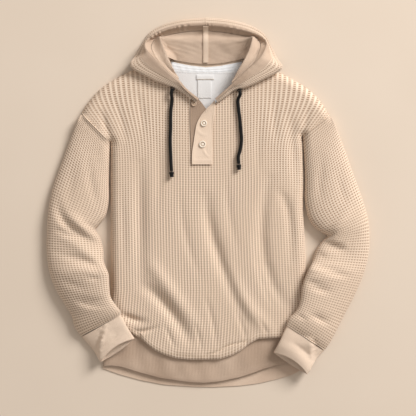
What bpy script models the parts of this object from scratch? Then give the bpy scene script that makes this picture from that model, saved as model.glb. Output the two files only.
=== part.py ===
"""A waffle-knit hoodie laid flat on its back, front up, sleeves bent at its sides and hood open.

X runs to the wearer's left, Y to the hood, Z up from the surface it lies on.
Tables and sizes are in millimetres; meshes are in metres. The origin is under the middle of the part.
"""
import math
from collections import namedtuple

import bmesh
import bpy
from mathutils import Vector

MM = 0.001

# Cloth and fit
WAFFLE = 2.0            # wall of the waffle knit
JERSEY = 1.2            # wall of the plain lining
BAND = 2.2              # wall of the doubled hem band, cuffs and casing
THIN = 1.0              # wall of tapes, labels, facing and placket strips
SEAM = 0.3              # gap between pieces that are sewn together
CLEAR = 1.0             # gap under a piece that lies loosely on another

# The body's heights above the surface
FRONT_TOP = 24.0        # the front panel's outer face
EDGE_FLOOR = WAFFLE + SEAM + 1.0    # its rim leans inwards, so it starts a little higher
ROLL_WIDTH = 20.0       # the front panel rounds down over this width at its sides and shoulders

# The hem: the front panel blouses over the band
BLOUSE_DEPTH = 12.0
BLOUSE_TURNS = (-50, -15, 20, 55)   # rows round the blouse, in degrees from level
SEAM_HEIGHT = 13.9
SEAM_TUCK = 4.3
BAND_TOP_HEIGHT = 13.3
BAND_EDGE_HEIGHT = 10.5

Point = namedtuple("Point", "x y")

# The body's outline, walked clockwise: up the right side, over the shoulders, down the left side
RIGHT_SIDE = [Point(*p) for p in (
    (-233, -367), (-234, -353), (-229, -314), (-220, -259), (-214, -193),
    (-215, -105), (-216, 5), (-216, 133))]
LEFT_SIDE = [Point(*p) for p in (
    (209, 147), (210.5, 98), (212, 49), (211, -17), (214, -72),
    (217, -138), (221, -215), (222, -281), (222, -325), (219, -362))]
RIGHT_SHOULDER = [Point(*p) for p in (
    (-280, 198), (-269, 217), (-256, 234), (-240, 251), (-223, 264),
    (-197, 279), (-172, 291), (-139, 303), (-120, 307.6), (-106, 311))]
LEFT_SHOULDER = [Point(*p) for p in (
    (101, 311), (114, 307), (127, 303), (154, 289), (171, 282), (196, 268),
    (217, 255), (234, 241), (251, 222), (270, 193))]
FRONT_NECK = [Point(*p) for p in (
    (-104, 296), (-97, 284), (-82, 270), (-66, 258), (-50, 243), (-24, 221),
    (-3, 203), (19, 221), (36, 236), (53, 249), (71, 262), (93, 283), (99, 298))]
BACK_NECK = [Point(*p) for p in (
    (-88, 313), (-69, 309), (-40, 304.5), (-5, 301), (28, 303.5), (61, 309), (84, 313))]
FRONT_TOP_EDGE = RIGHT_SHOULDER + FRONT_NECK + LEFT_SHOULDER
BACK_TOP_EDGE = RIGHT_SHOULDER + BACK_NECK + LEFT_SHOULDER

# Hem lines, as y over x
BLOUSE_EDGE = [Point(*p) for p in (
    (-226, -296), (-172, -287), (-149, -299), (-133, -314), (-117, -326), (-96, -336),
    (-70, -344), (-40, -347), (25, -346), (51, -338), (72, -327), (91, -312),
    (110, -301), (160, -298), (222, -303))]
FRONT_BAND_EDGE = [Point(*p) for p in (
    (-233, -362), (-212, -360), (-191, -363), (-149, -376), (-104, -388), (-40, -397),
    (-7, -398.5), (27, -395), (70, -386), (99, -377), (125, -367), (162, -357), (219, -353))]
BACK_BAND_SEAM = [Point(*p) for p in ((-230, -314), (-149, -340), (0, -354), (151, -340), (222, -318))]
BACK_BAND_EDGE = [Point(*p) for p in (
    (-233, -368), (-196, -381), (-149, -394), (-96, -404), (-25, -408.6), (15, -409),
    (72, -406), (112, -401), (151, -392), (190, -381), (219, -362))]

Fold = namedtuple("Fold", "x0 y0 x1 y1 x2 y2 half_width depth")   # three points along the fold
FOLD_PARTS = 5          # straight parts of a fold's curve
FOLD_ENDS = 0.25        # share of its depth that it keeps at its ends

BODY_FOLDS = [Fold(*row) for row in (
    (-150, 82, -150, -39, -148, -160, 14, -5),      # long hollow below the right cord
    (-143, -182, -91, -229, -43, -301, 13, -7),     # it runs on down to the hem
    (-130, -129, -96, -177, -25, -274, 15, 4),      # ridge beside it
    (-4, 12, 19, -107, 85, -259, 13, -6),           # middle hollow
    (38, -129, 80, -221, 140, -282, 15, 4),         # ridge beside it
    (133, 51, 120, -103, 165, -221, 13, -5),        # hollow below the left cord
    (181, 190, 190, 110, 196, 27, 13, -4),          # drag line from the left shoulder
    (157, 25, 178, -28, 182, -127, 10, -3),
    (-190, -248, -168, -258, -146, -265, 10, -5),   # pocket beside the right cuff
    (-172, -280, -139, -282, -106, -269, 9, -2.5))]

RIGHT_SLEEVE_FOLDS = [Fold(*row) for row in (
    (-302, -28, -275, -52, -231, -84, 10, 5),       # elbow ridge
    (-330, -1, -309, -49, -241, -92, 9, -5),
    (-315, -81, -257, -115, -223, -144, 11, 4),
    (-304, -122, -254, -136, -236, -149, 9, -4),
    (-286, -212, -250, -217, -216, -212, 9, -3))]
LEFT_SLEEVE_FOLDS = [Fold(*row) for row in (
    (266, -72, 282, -55, 312, -20, 10, 5),          # elbow ridge
    (246, -88, 275, -99, 305, -105, 10, -5),
    (222, -136, 265, -147, 310, -160, 9, -4),
    (213, -171, 240, -184, 268, -193, 9, -3),
    (224, -241, 245, -254, 268, -263, 9, -3))]

# A sleeve's flat width runs from its outer to its inner edge; thickness is its laid height
Station = namedtuple("Station", "outer_x outer_y inner_x inner_y thickness")
RIGHT_SLEEVE = [Station(*row) for row in (
    (-280, 198, -216, 133, 24), (-293, 168, -218, 82, 26), (-310, 124, -219, 40, 29),
    (-326, 80, -219, 5, 31), (-343, 32, -226, -29, 32), (-352, -10, -240, -49, 34),
    (-355, -39, -248, -61, 35), (-356, -65, -238, -78, 34), (-357, -100, -231, -105, 33),
    (-354, -136, -229, -131, 33), (-347, -166, -218, -155, 32), (-334, -197, -216, -180, 31),
    (-315, -228, -213, -206, 30), (-301, -252, -201, -226, 30), (-294, -277, -192, -237, 27),
    (-281, -295, -191, -245, 20))]
LEFT_SLEEVE = [Station(*row) for row in (
    (270, 193, 209, 147, 24), (283, 166, 213, 98, 26), (301, 120, 214.5, 47, 29),
    (316, 78, 214, 7, 31), (332, 34, 222, -34, 32), (345, -4, 241, -59, 34),
    (354, -37, 264, -74, 35), (357, -70, 254, -84, 34), (356, -105, 240, -103, 33),
    (349, -142, 231, -129, 33), (337, -177, 217, -153, 32), (320, -214, 206, -184, 31),
    (300, -252, 202, -215, 30), (281, -290, 193, -237, 30), (268, -313, 178, -253, 27),
    (258, -326, 172, -268, 20))]
RIGHT_CUFF = [Station(*row) for row in (
    (-280, -296, -192.5, -245.5, 18), (-268, -310, -184, -259, 19),
    (-257, -323, -178, -272, 18), (-236, -351, -161, -298, 17))]
LEFT_CUFF = [Station(*row) for row in (
    (257, -327, 173.5, -269, 18), (246, -338, 166, -284, 19),
    (236, -351, 159, -300, 18), (219, -378, 144, -329, 17))]
RING_HALF = 8           # segments over the top of a sleeve, and as many under it
SLEEVE_STEPS = 25
CUFF_STEPS = 5
SLEEVE_EDGE = 8.0       # height of a sleeve's side edge above what it lies on
CUFF_EDGE = 6.0
SLEEVE_OPEN = 9.0       # the least height inside a sleeve, where it lies on the body
SLEEVE_CLEAR = 3.0      # gap between a forearm and the body's folds
BAND_CLEAR = 4.0
CROWN_POWER = 0.75      # how square a section is above its side edges, and below them
UNDER_POWER = 0.4
ARM_JOIN = 2.2          # rows over which the sleeve's end takes the body's height
LIFT_START = 7.5        # rows after which a forearm rises onto the body
LIFT_ROWS = 2.2
TIP_GAP = 0.9           # the gap at the shoulder's tip, where both walls turn
MOUTH_FRONT = 10.0      # the cuff's upper layer falls short of its edge line by this much
MOUTH_BACK = 3.0

# A section of the hood, from its opening edge (lip) out to its fold, and in to the neck seam
HoodRow = namedtuple("HoodRow", "lip_x lip_y lip_z fold_x fold_y roll valley_z "
                                "ridge_x ridge_y ridge_z neck_x neck_y")
RIGHT_HOOD = [HoodRow(*row) for row in (
    (-21, 227, 37, -27, 220, 3.2, 33, -20, 228, 32, -24, 224),
    (-47, 249, 39, -55, 240, 4.5, 34.5, -46, 250, 33, -50, 245),
    (-61, 265, 41, -72, 250, 6.0, 36, -59, 266, 34, -66, 260),
    (-75, 278, 44, -94, 258, 6.5, 38, -67, 278, 37, -82, 272),
    (-98, 298, 47, -126, 271, 7.0, 39, -74, 289, 39, -100, 289),
    (-122, 322, 48, -170, 299, 7.0, 37, -84, 311, 39, -105, 302),
    (-135, 339, 41, -156, 333, 8.0, 28, -95, 335, 36, -103, 315),
    (-134, 353, 29, -143, 357, 4.5, 19, -102, 353, 32, -97, 320),
    (-121, 363, 26, -128, 378, 5.5, 15, -104, 364, 27, -88, 318),
    (-93, 377, 26, -99, 394, 7.0, 13, -84, 361, 18, -69, 313),
    (-53, 386, 26, -57, 405, 9.5, 11, -47, 356, 14, -40, 308),
    (-5, 389, 26, -5, 409, 9.5, 10, -5, 357, 13, -5, 304.5))]
LEFT_HOOD = [HoodRow(*row) for row in (
    (16, 227, 37, 22, 220, 3.2, 33, 15, 228, 32, 19, 224),
    (33, 242, 39, 41, 233, 4.5, 34.5, 32, 243, 33, 36, 238),
    (48, 255, 41, 59, 246, 6.0, 36, 46, 257, 34, 53, 251),
    (63, 270, 44, 84, 252, 6.5, 38, 56, 271, 37, 71, 264),
    (86, 291, 47, 116, 266, 7.0, 39, 64, 287, 39, 92, 285),
    (110, 313, 48, 162, 293, 7.0, 37, 77, 309, 39, 100, 302),
    (123, 334, 41, 153, 320, 8.0, 28, 89, 333, 36, 98, 315),
    (127, 351, 29, 139, 349, 4.5, 19, 95, 352, 32, 93, 320),
    (114, 364, 26, 125, 373, 5.0, 15, 96, 364, 27, 84, 318),
    (86, 375, 26, 96, 391, 7.0, 13, 77, 359, 18, 61, 313),
    (44, 384, 26, 48, 404, 9.5, 11, 39, 355, 14, 28, 307),
    (-5, 389, 26, -5, 409, 9.5, 10, -5, 357, 13, -5, 304.5))]
HOOD_STEPS = 22         # sections in each half of the hood
CASING_WIDTH = 21.0     # on the hood's outer face
CASING_SHARE = 0.55     # the casing's largest share of that face
CASING_INSIDE = 18.0
LIP_ROLL = 3.0
ROUND_SHARE = 0.41      # how far the lip's round bulges from its chord
LINING_START = 2.4      # the lining begins this many rows above the front opening
FRONT_LIFT = 3.0        # the hood's front ends lie over the placket
LIFTED_ROWS = 2.0
NECK_INSET = 2.0        # the lining ends this far inside the neck seam
TAPE_HALF = 6.0         # half the width of the tape on the hood's middle seam

# Strips of the front opening: left and right edge of each row, from the neck down
Row = namedtuple("Row", "left_x left_y right_x right_y")
PLACKET_TOP = [Row(*row) for row in (
    (-3, 205, 15, 225), (-10, 198, 15.5, 211), (-17, 189, 15, 200), (-25, 172, 13, 185),
    (-29, 150, 10.5, 157), (-32, 129, 10, 129), (-35, 108, 9.5, 108), (-35, 84, 9, 84))]
PLACKET_UNDER = [Row(*row) for row in (
    (-38, 229, -22, 229), (-39, 217, -12, 217), (-39.5, 203, -4, 205), (-39.5, 188, 4, 190),
    (-39, 165, 6, 166), (-38, 140, 6, 140), (-37, 112, 5, 112), (-36, 88, 5, 88))]

BUTTONS = (              # name, x, y, diameter, strips under it
    ("collar_button", -31, 217, 11.5, 1),
    ("upper_button", -9, 174, 14.0, 2),
    ("lower_button", -12, 128, 15.0, 2))

BUTTON_PROFILE = (       # share of the radius, height
    (0, 1.5), (0.62, 1.5), (0.72, 2.3), (0.9, 2.4), (1, 1.4), (0.92, 0.3), (0.6, 0), (0, 0))

CORD_DIAMETER = 7.4
KNOT_ROOM = 1.8         # a knot is this much thicker than its cord on each side
EYELET_RING = 5.0       # radius of its middle circle
EYELET_WIRE = 0.9
EYELET_RISE = 1.0       # its place on the hood's fold
EYELET_OUT = 2.2
EYELET_ROW = {"right": 2.25, "left": 2.4}
EYELET_AXIS = {"right": (-0.30, -0.93, 0.22), "left": (0.25, -0.94, 0.22)}
KNOT = ((0, 0), (3.4, 0), (5.0, -1.8), (5.1, -4.6), (3.9, -7.2), (3.7, -11.0), (2.9, -11.6), (0, -11.6))
RIGHT_CORD = [Point(*p) for p in (
    (-79, 224), (-81, 207), (-82, 190), (-82, 168), (-83, 137), (-82, 106), (-81, 84), (-80, 68))]
LEFT_CORD = [Point(*p) for p in (
    (65.5, 224), (67, 207), (69.5, 186), (72, 160), (73.5, 137), (71, 117), (66.5, 99), (67.5, 84))]

COLOURS = {              # base colour, roughness, metallic
    "waffle": ((0.76, 0.62, 0.47, 1), 0.85, 0.0),
    "jersey": ((0.68, 0.54, 0.40, 1), 0.85, 0.0),
    "white": ((0.82, 0.83, 0.84, 1), 0.85, 0.0),
    "cord": ((0.012, 0.012, 0.013, 1), 0.7, 0.0),
    "eyelet": ((0.02, 0.02, 0.02, 1), 0.35, 1.0),
    "button": ((0.80, 0.72, 0.60, 1), 0.35, 0.0),
}


# Curves through tables

def smooth_row(rows, t):
    """A table's row at place t, counted in rows, on a smooth curve through all of them."""
    last = len(rows) - 1
    t = min(max(t, 0.0), last)
    i = min(int(t), last - 1)
    f = t - i
    before, start, end, after = (rows[min(max(k, 0), last)] for k in (i - 1, i, i + 1, i + 2))
    values = []
    for p, q, r, s in zip(before, start, end, after):
        values.append(0.5 * (2 * q + (r - p) * f + (2 * p - 5 * q + 4 * r - s) * f ** 2
                             + (3 * q - p - 3 * r + s) * f ** 3))
    return type(rows[0])(*values)


def smooth_points(points, t):
    """The same for a list of Vectors, with t from 0 to 1 by length."""
    lengths = [0.0]
    for a, b in zip(points, points[1:]):
        lengths.append(lengths[-1] + (b - a).length)
    target = t * lengths[-1]
    i = max(k for k in range(len(points) - 1) if lengths[k] <= target + 1e-9)
    f = (target - lengths[i]) / (lengths[i + 1] - lengths[i])
    rows = [tuple(p) for p in points]
    last = len(rows) - 1
    before, start, end, after = (rows[min(max(k, 0), last)] for k in (i - 1, i, i + 1, i + 2))
    return Vector(0.5 * (2 * q + (r - p) * f + (2 * p - 5 * q + 4 * r - s) * f ** 2
                         + (3 * q - p - 3 * r + s) * f ** 3)
                  for p, q, r, s in zip(before, start, end, after))


def edge_at(edge, x):
    """The y of an edge that is a table of points in order of x."""
    for a, b in zip(edge, edge[1:]):
        if x <= b.x or b is edge[-1]:
            f = min(max((x - a.x) / (b.x - a.x), 0.0), 1.0)
            return a.y + (b.y - a.y) * f


def side_at(side, y):
    """The x of a side that is a table of points in order of y, up or down."""
    points = side if side[0].y < side[-1].y else side[::-1]
    for a, b in zip(points, points[1:]):
        if y <= b.y or b is points[-1]:
            f = min(max((y - a.y) / (b.y - a.y), 0.0), 1.0)
            return a.x + (b.x - a.x) * f


def distance_to(edge, x, y):
    """Distance from a chain of points."""
    best = math.inf
    for a, b in zip(edge, edge[1:]):
        dx = b.x - a.x
        dy = b.y - a.y
        f = min(max(((x - a.x) * dx + (y - a.y) * dy) / (dx * dx + dy * dy), 0.0), 1.0)
        best = min(best, math.hypot(x - a.x - f * dx, y - a.y - f * dy))
    return best


def below_top(x, y):
    """Distance inside the front panel's top edge; negative beyond it."""
    distance = distance_to(FRONT_TOP_EDGE, x, y)
    return distance if y < edge_at(FRONT_TOP_EDGE, x) else -distance


def ease(t):
    """From 0 to 1, with a soft start and end."""
    t = min(max(t, 0.0), 1.0)
    return t * t * (3 - 2 * t)


def rounded(distance):
    """A quarter of an ellipse: 0 at an edge, 1 from the roll's width inwards."""
    f = min(max(distance / ROLL_WIDTH, 0.0), 1.0)
    return math.sqrt(1 - (1 - f) ** 2)


def fold_line(fold):
    """Points along a fold, on a curve through its three points."""
    line = []
    for k in range(FOLD_PARTS + 1):
        t = k / FOLD_PARTS
        middle = t * (1 - t)
        line.append(Point(
            fold.x0 * (1 - t) ** 2 + (4 * fold.x1 - fold.x0 - fold.x2) * middle + fold.x2 * t * t,
            fold.y0 * (1 - t) ** 2 + (4 * fold.y1 - fold.y0 - fold.y2) * middle + fold.y2 * t * t))
    return line


def relief(folds, x, y):
    """How far the folds raise or lower the cloth at a point; each fades out towards its ends."""
    total = 0.0
    for fold in folds:
        nearest = math.inf
        place = 0.0
        line = fold_line(fold)
        for k, (a, b) in enumerate(zip(line, line[1:])):
            dx = b.x - a.x
            dy = b.y - a.y
            f = min(max(((x - a.x) * dx + (y - a.y) * dy) / (dx * dx + dy * dy), 0.0), 1.0)
            gap = math.hypot(x - a.x - f * dx, y - a.y - f * dy)
            if gap < nearest:
                nearest = gap
                place = (k + f) / FOLD_PARTS
        taper = FOLD_ENDS + (1 - FOLD_ENDS) * math.sin(math.pi * place)
        total += fold.depth * taper * math.exp(-(nearest / fold.half_width) ** 2)
    return total


# The body's heights

def front_height(x, y):
    """The outer face of the front panel: flat with folds, rounded down at sides and shoulders."""
    inside = 1.0
    for edge in (RIGHT_SIDE, LEFT_SIDE, RIGHT_SHOULDER[:-1], LEFT_SHOULDER[1:]):
        inside *= rounded(distance_to(edge, x, y))
    return EDGE_FLOOR + (FRONT_TOP + relief(BODY_FOLDS, x, y) - EDGE_FLOOR) * inside


def over_shoulder(x, y):
    """What the hood lies on: the front panel, then down over the shoulder or neck seam to the surface."""
    return (FRONT_TOP + CLEAR) * ease((below_top(x, y) + 28) / 20)


def lining_floor(x, y):
    """The lowest that the lining may lie: clear of the hood's outer layer, with room where that drapes."""
    return (FRONT_TOP + CLEAR) * ease((below_top(x, y) + 40) / 26) + WAFFLE + JERSEY + 3 * SEAM


def over_side(x, y):
    """What a forearm lies on: the front panel and band, then down over the body's side."""
    side = RIGHT_SIDE if x < 0 else LEFT_SIDE
    edge = side_at(side, y)
    distance = distance_to(side, x, y) if y > -350 else abs(x - edge)
    if abs(x) > abs(edge):
        distance = -distance
    top = FRONT_TOP + SLEEVE_CLEAR
    top += (BAND_TOP_HEIGHT + BAND_CLEAR - top) * ease((-305 - y) / 35)
    return top * ease((distance + 24) / 20)


# Building blocks

def material(name):
    made = bpy.data.materials.get(name)
    if made is None:
        colour, roughness, metallic = COLOURS[name]
        made = bpy.data.materials.new(name)
        made.use_nodes = True
        shader = made.node_tree.nodes["Principled BSDF"]
        shader.inputs["Base Color"].default_value = colour
        shader.inputs["Roughness"].default_value = roughness
        shader.inputs["Metallic"].default_value = metallic
        made.diffuse_color = colour
    return made


def place(obj, finish):
    obj.data.materials.append(material(finish))
    COLLECTION.objects.link(obj)
    return obj


def cloth(name, rows, wall, finish, ring=False, flip=False):
    """A wall of cloth: rows of points on its outer face, thickened inwards."""
    mesh = bmesh.new()
    grid = [[mesh.verts.new(Vector(point) * MM) for point in row] for row in rows]
    count = len(grid[0])
    for lower, upper in zip(grid, grid[1:]):
        for k in range(count if ring else count - 1):
            a, b = lower[k], lower[(k + 1) % count]
            c, d = upper[(k + 1) % count], upper[k]
            for corners in ((a, b, c), (a, c, d)):
                mesh.faces.new(reversed(corners) if flip else corners)
    data = bpy.data.meshes.new(name)
    mesh.to_mesh(data)
    mesh.free()
    data.shade_smooth()
    obj = place(bpy.data.objects.new(name, data), finish)
    thick = obj.modifiers.new("wall", "SOLIDIFY")
    thick.thickness = wall * MM
    thick.offset = -1
    return obj


def turned(name, profile, centre, axis, finish, steps=16):
    """A turned piece: (radius, height) from the top of its axis round its outside to the bottom."""
    data = bpy.data.meshes.new(name)
    points = [(radius * MM, 0, height * MM) for radius, height in profile]
    data.from_pydata(points, [(k, k + 1) for k in range(len(points) - 1)], [])
    obj = place(bpy.data.objects.new(name, data), finish)
    obj.location = Vector(centre) * MM
    obj.rotation_mode = "QUATERNION"
    obj.rotation_quaternion = Vector((0, 0, 1)).rotation_difference(Vector(axis))
    screw = obj.modifiers.new("turn", "SCREW")
    screw.steps = steps
    screw.render_steps = steps
    screw.use_merge_vertices = True
    screw.merge_threshold = 0.00001
    return obj


# The body

EDGE_COLUMNS = (0.0, 0.004, 0.014, 0.029, 0.050)
MIDDLE_COLUMNS = 17
COLUMNS = (EDGE_COLUMNS
           + tuple(0.05 + 0.9 * k / MIDDLE_COLUMNS for k in range(1, MIDDLE_COLUMNS))
           + tuple(1 - u for u in reversed(EDGE_COLUMNS)))
BACK_COLUMNS = [k / 20 for k in range(21)]
SIDE_ROWS = 17
ARMHOLE = [(1 - math.cos(math.pi * k / RING_HALF)) / 2 for k in range(RING_HALF + 1)]


def hem_end(side, hem):
    """Where a hem line meets a side of the body."""
    y = hem(side_at(side, -300))
    for _ in range(4):
        y = hem(side_at(side, y))
    return y


def boundary_rows(hem, side_rows):
    """Pairs of right and left edge points, from the hem up the sides, then along the armholes."""
    hem_right = hem_end(RIGHT_SIDE, hem)
    hem_left = hem_end(LEFT_SIDE, hem)
    rows = []
    for k in range(side_rows):
        f = k / side_rows
        y_right = hem_right + (RIGHT_SIDE[-1].y - hem_right) * f
        y_left = hem_left + (LEFT_SIDE[0].y - hem_left) * f
        rows.append((Point(side_at(RIGHT_SIDE, y_right), y_right),
                     Point(side_at(LEFT_SIDE, y_left), y_left)))
    for s in ARMHOLE:
        pair = []
        for armpit, tip in ((RIGHT_SIDE[-1], RIGHT_SHOULDER[0]), (LEFT_SIDE[0], LEFT_SHOULDER[-1])):
            pair.append(Point(armpit.x + (tip.x - armpit.x) * s, armpit.y + (tip.y - armpit.y) * s))
        rows.append(tuple(pair))
    return rows


def panel_plan(rows, hem, top, columns):
    """A grid of plan points between the side rows, the hem line and the top line."""
    first, last = rows[0], rows[-1]
    grid = []
    for right, left in rows:
        v = (right.y - first[0].y) / (last[0].y - first[0].y)
        line = []
        for u in columns:
            hem_x = first[0].x + (first[1].x - first[0].x) * u
            top_x = last[0].x + (last[1].x - last[0].x) * u
            hem_point = (hem_x, hem(hem_x))
            top_point = (top_x, edge_at(top, top_x))
            point = []
            for k in (0, 1):
                across = right[k] * (1 - u) + left[k] * u
                along = hem_point[k] * (1 - v) + top_point[k] * v
                corners = ((first[0][k] * (1 - u) + first[1][k] * u) * (1 - v)
                           + (last[0][k] * (1 - u) + last[1][k] * u) * v)
                point.append(across + along - corners)
            line.append(Point(*point))
        grid.append(line)
    return grid


def side_gap(x, y):
    """Distance of a hem point from the nearer side of the body."""
    return min(x - side_at(RIGHT_SIDE, y), side_at(LEFT_SIDE, y) - x)


def blouse_tuck(x, y):
    """How far back the hem seam lies under the blouse: nothing at the sides."""
    return -1.0 + (SEAM_TUCK + 1.0) * ease((side_gap(x, y) - 8) / 40)


def blouse_crest(x):
    """The y where the front panel starts to turn down into its blouse."""
    return edge_at(BLOUSE_EDGE, x) + BLOUSE_DEPTH


def front_body():
    rows = boundary_rows(blouse_crest, SIDE_ROWS)
    plan = panel_plan(rows, blouse_crest, FRONT_TOP_EDGE, COLUMNS)
    blouse = []
    lowest = math.sin(math.radians(BLOUSE_TURNS[0]))
    for angle in BLOUSE_TURNS:
        turn = math.radians(angle)
        line = []
        for point in plan[0]:
            edge = edge_at(BLOUSE_EDGE, point.x)
            crest = front_height(point.x, point.y)
            inside = rounded(side_gap(point.x, edge))
            low = EDGE_FLOOR + (SEAM_HEIGHT - EDGE_FLOOR) * inside
            z = low + (crest - low) * (math.sin(turn) - lowest) / (1 - lowest)
            y = edge + BLOUSE_DEPTH * (1 - math.cos(turn))
            if angle == BLOUSE_TURNS[0]:
                y = edge + blouse_tuck(point.x, edge)
            line.append((point.x, y, z))
        blouse.append(line)
    main = [[(p.x, p.y, front_height(p.x, p.y)) for p in line] for line in plan]
    cloth("front_body", blouse + main, WAFFLE, "waffle")


def hem_band_front():
    rows = []
    first = BLOUSE_EDGE[0].x
    last = BLOUSE_EDGE[-1].x
    for k in range(5):
        f = k / 4
        line = []
        for u in COLUMNS:
            top_x = first + (last - first) * u
            low_x = FRONT_BAND_EDGE[0].x + (FRONT_BAND_EDGE[-1].x - FRONT_BAND_EDGE[0].x) * u
            top_y = edge_at(BLOUSE_EDGE, top_x)
            top_y += blouse_tuck(top_x, top_y) - 2 * SEAM
            x = low_x * (1 - f) + top_x * f
            y = edge_at(FRONT_BAND_EDGE, low_x) * (1 - f) + top_y * f
            inside = rounded(side_gap(x, y) if 0 < u < 1 else 0.0)
            height = BAND_EDGE_HEIGHT + (BAND_TOP_HEIGHT - BAND_EDGE_HEIGHT) * f
            floor = BAND + SEAM + 1.0
            line.append((x, y, floor + (height - floor) * inside))
        rows.append(line)
    cloth("hem_band_front", rows, BAND, "jersey")


def back_seam(x):
    """The y of the seam between the back panel and its band."""
    return edge_at(BACK_BAND_SEAM, x)


def above_back_seam(x):
    return back_seam(x) + SEAM


def back_body():
    rows = boundary_rows(above_back_seam, 9)
    rows = rows[:10] + rows[11::2]
    plan = panel_plan(rows, above_back_seam, BACK_TOP_EDGE, BACK_COLUMNS)
    cloth("back_body", [[(p.x, p.y, 0) for p in line] for line in plan], WAFFLE, "waffle", flip=True)


def hem_band_back():
    first = side_at(RIGHT_SIDE, hem_end(RIGHT_SIDE, back_seam))
    last = side_at(LEFT_SIDE, hem_end(LEFT_SIDE, back_seam))
    rows = []
    for f in (0, 0.5, 1):
        line = []
        for u in BACK_COLUMNS:
            low_x = BACK_BAND_EDGE[0].x + (BACK_BAND_EDGE[-1].x - BACK_BAND_EDGE[0].x) * u
            top_x = first + (last - first) * u
            low_y = edge_at(BACK_BAND_EDGE, low_x)
            line.append((low_x * (1 - f) + top_x * f,
                         low_y * (1 - f) + (back_seam(top_x) - SEAM) * f, 0))
        rows.append(line)
    cloth("hem_band_back", rows, BAND, "jersey", flip=True)


# Sleeves and cuffs

def ring(station, edge, lifted, folds, joined=0.0, armhole=None):
    """One closed section of a sleeve: over the top from its inner to its outer edge, then back under."""
    inner = Point(station.inner_x, station.inner_y)
    outer = Point(station.outer_x, station.outer_y)
    lift_inner = over_side(*inner) * lifted
    lift_outer = over_side(*outer) * lifted
    points = []
    for k in range(2 * RING_HALF):
        over = k <= RING_HALF
        s = ARMHOLE[k if over else 2 * RING_HALF - k]
        arch = math.sin(math.pi * (k if over else 2 * RING_HALF - k) / RING_HALF)
        x = inner.x + (outer.x - inner.x) * s
        y = inner.y + (outer.y - inner.y) * s
        rest = over_side(x, y) * lifted
        if over:
            base = lift_inner + (lift_outer - lift_inner) * s
            crown = (station.thickness - edge + relief(folds, x, y)) * max(arch, 0.0) ** CROWN_POWER
            z = max(base + edge + crown, rest + edge * (1 - arch) + SLEEVE_OPEN * arch)
        else:
            z = rest + edge * (1 - max(arch, 0.0) ** UNDER_POWER)
        if armhole:
            body_z = armhole(x, y) if over else 0.0
            if k in (0, RING_HALF):
                body_z = WAFFLE / 2
            z += (body_z - z) * joined
        points.append(Vector((x, y, z)))
    return points


def sleeve(side, stations, folds):
    rows = []
    last = len(stations) - 1
    for step in range(SLEEVE_STEPS + 1):
        t = last * step / SLEEVE_STEPS
        station = smooth_row(stations, t)
        joined = 1 - ease(t / ARM_JOIN)
        lifted = ease((t - LIFT_START) / LIFT_ROWS)
        rows.append(ring(station, SLEEVE_EDGE, lifted, folds, joined, front_height))
    drop = (rows[1][RING_HALF] - rows[0][RING_HALF] + rows[1][0] - rows[0][0]) / 2
    drop.z = 0
    for k, point in enumerate(rows[0]):
        towards_tip = ARMHOLE[min(k, 2 * RING_HALF - k)]
        rows[0][k] = point + drop.normalized() * (SEAM + TIP_GAP * towards_tip ** 4)
    cloth("sleeve_" + side, rows, WAFFLE, "waffle", ring=True, flip=(side == "left"))


def cuff(side, stations):
    rows = []
    last = len(stations) - 1
    for step in range(CUFF_STEPS + 1):
        t = last * step / CUFF_STEPS
        rows.append(ring(smooth_row(stations, t), CUFF_EDGE, 1.0, ()))
    along = sum((b - a for a, b in zip(rows[0], rows[-1])), Vector()) / len(rows[0])
    along.z = 0
    along.normalize()
    for step, row in enumerate(rows):
        share = ease((step / CUFF_STEPS - 0.4) / 0.6)
        for k, point in enumerate(row):
            arch = math.sin(math.pi * k / RING_HALF)
            shift = -MOUTH_FRONT * arch ** 2 if arch > 0 else MOUTH_BACK * arch ** 2
            row[k] = point + along * (shift * share + CLEAR * (1 - step / CUFF_STEPS))
    cloth("cuff_" + side, rows, BAND, "jersey", ring=True, flip=(side == "left"))


# The hood

def hood_outside(row, t):
    """A section's outer face: under the hood and round its fold, then its crest and lip."""
    lip = Vector((row.lip_x, row.lip_y))
    fold = Vector((row.fold_x, row.fold_y))
    neck = Vector((row.neck_x, row.neck_y))
    outward = (fold - (lip + neck) / 2).normalized()
    inner_fold = fold - outward * row.roll
    lift = FRONT_LIFT * (1 - ease(t / LIFTED_ROWS))
    under = []
    for f in (0.0, 0.2, 0.4, 0.6, 0.8, 1.0):
        plan = neck.lerp(inner_fold, f)
        under.append(Vector((plan.x, plan.y, over_shoulder(*plan) + lift)))
    base = under[-1].z
    for angle in (-45, 0, 45):
        turn = math.radians(angle)
        plan = inner_fold + outward * row.roll * math.cos(turn)
        drop = over_shoulder(*plan) + lift - base if angle < 0 else 0.0
        under.append(Vector((plan.x, plan.y, base + drop + row.roll * (1 + math.sin(turn)))))
    crest = Vector((inner_fold.x, inner_fold.y, base + 2 * row.roll))
    away = (inner_fold - lip).normalized()
    lip_top = Vector((*(lip + away * LIP_ROLL), row.lip_z))
    return under, crest, lip_top


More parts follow.
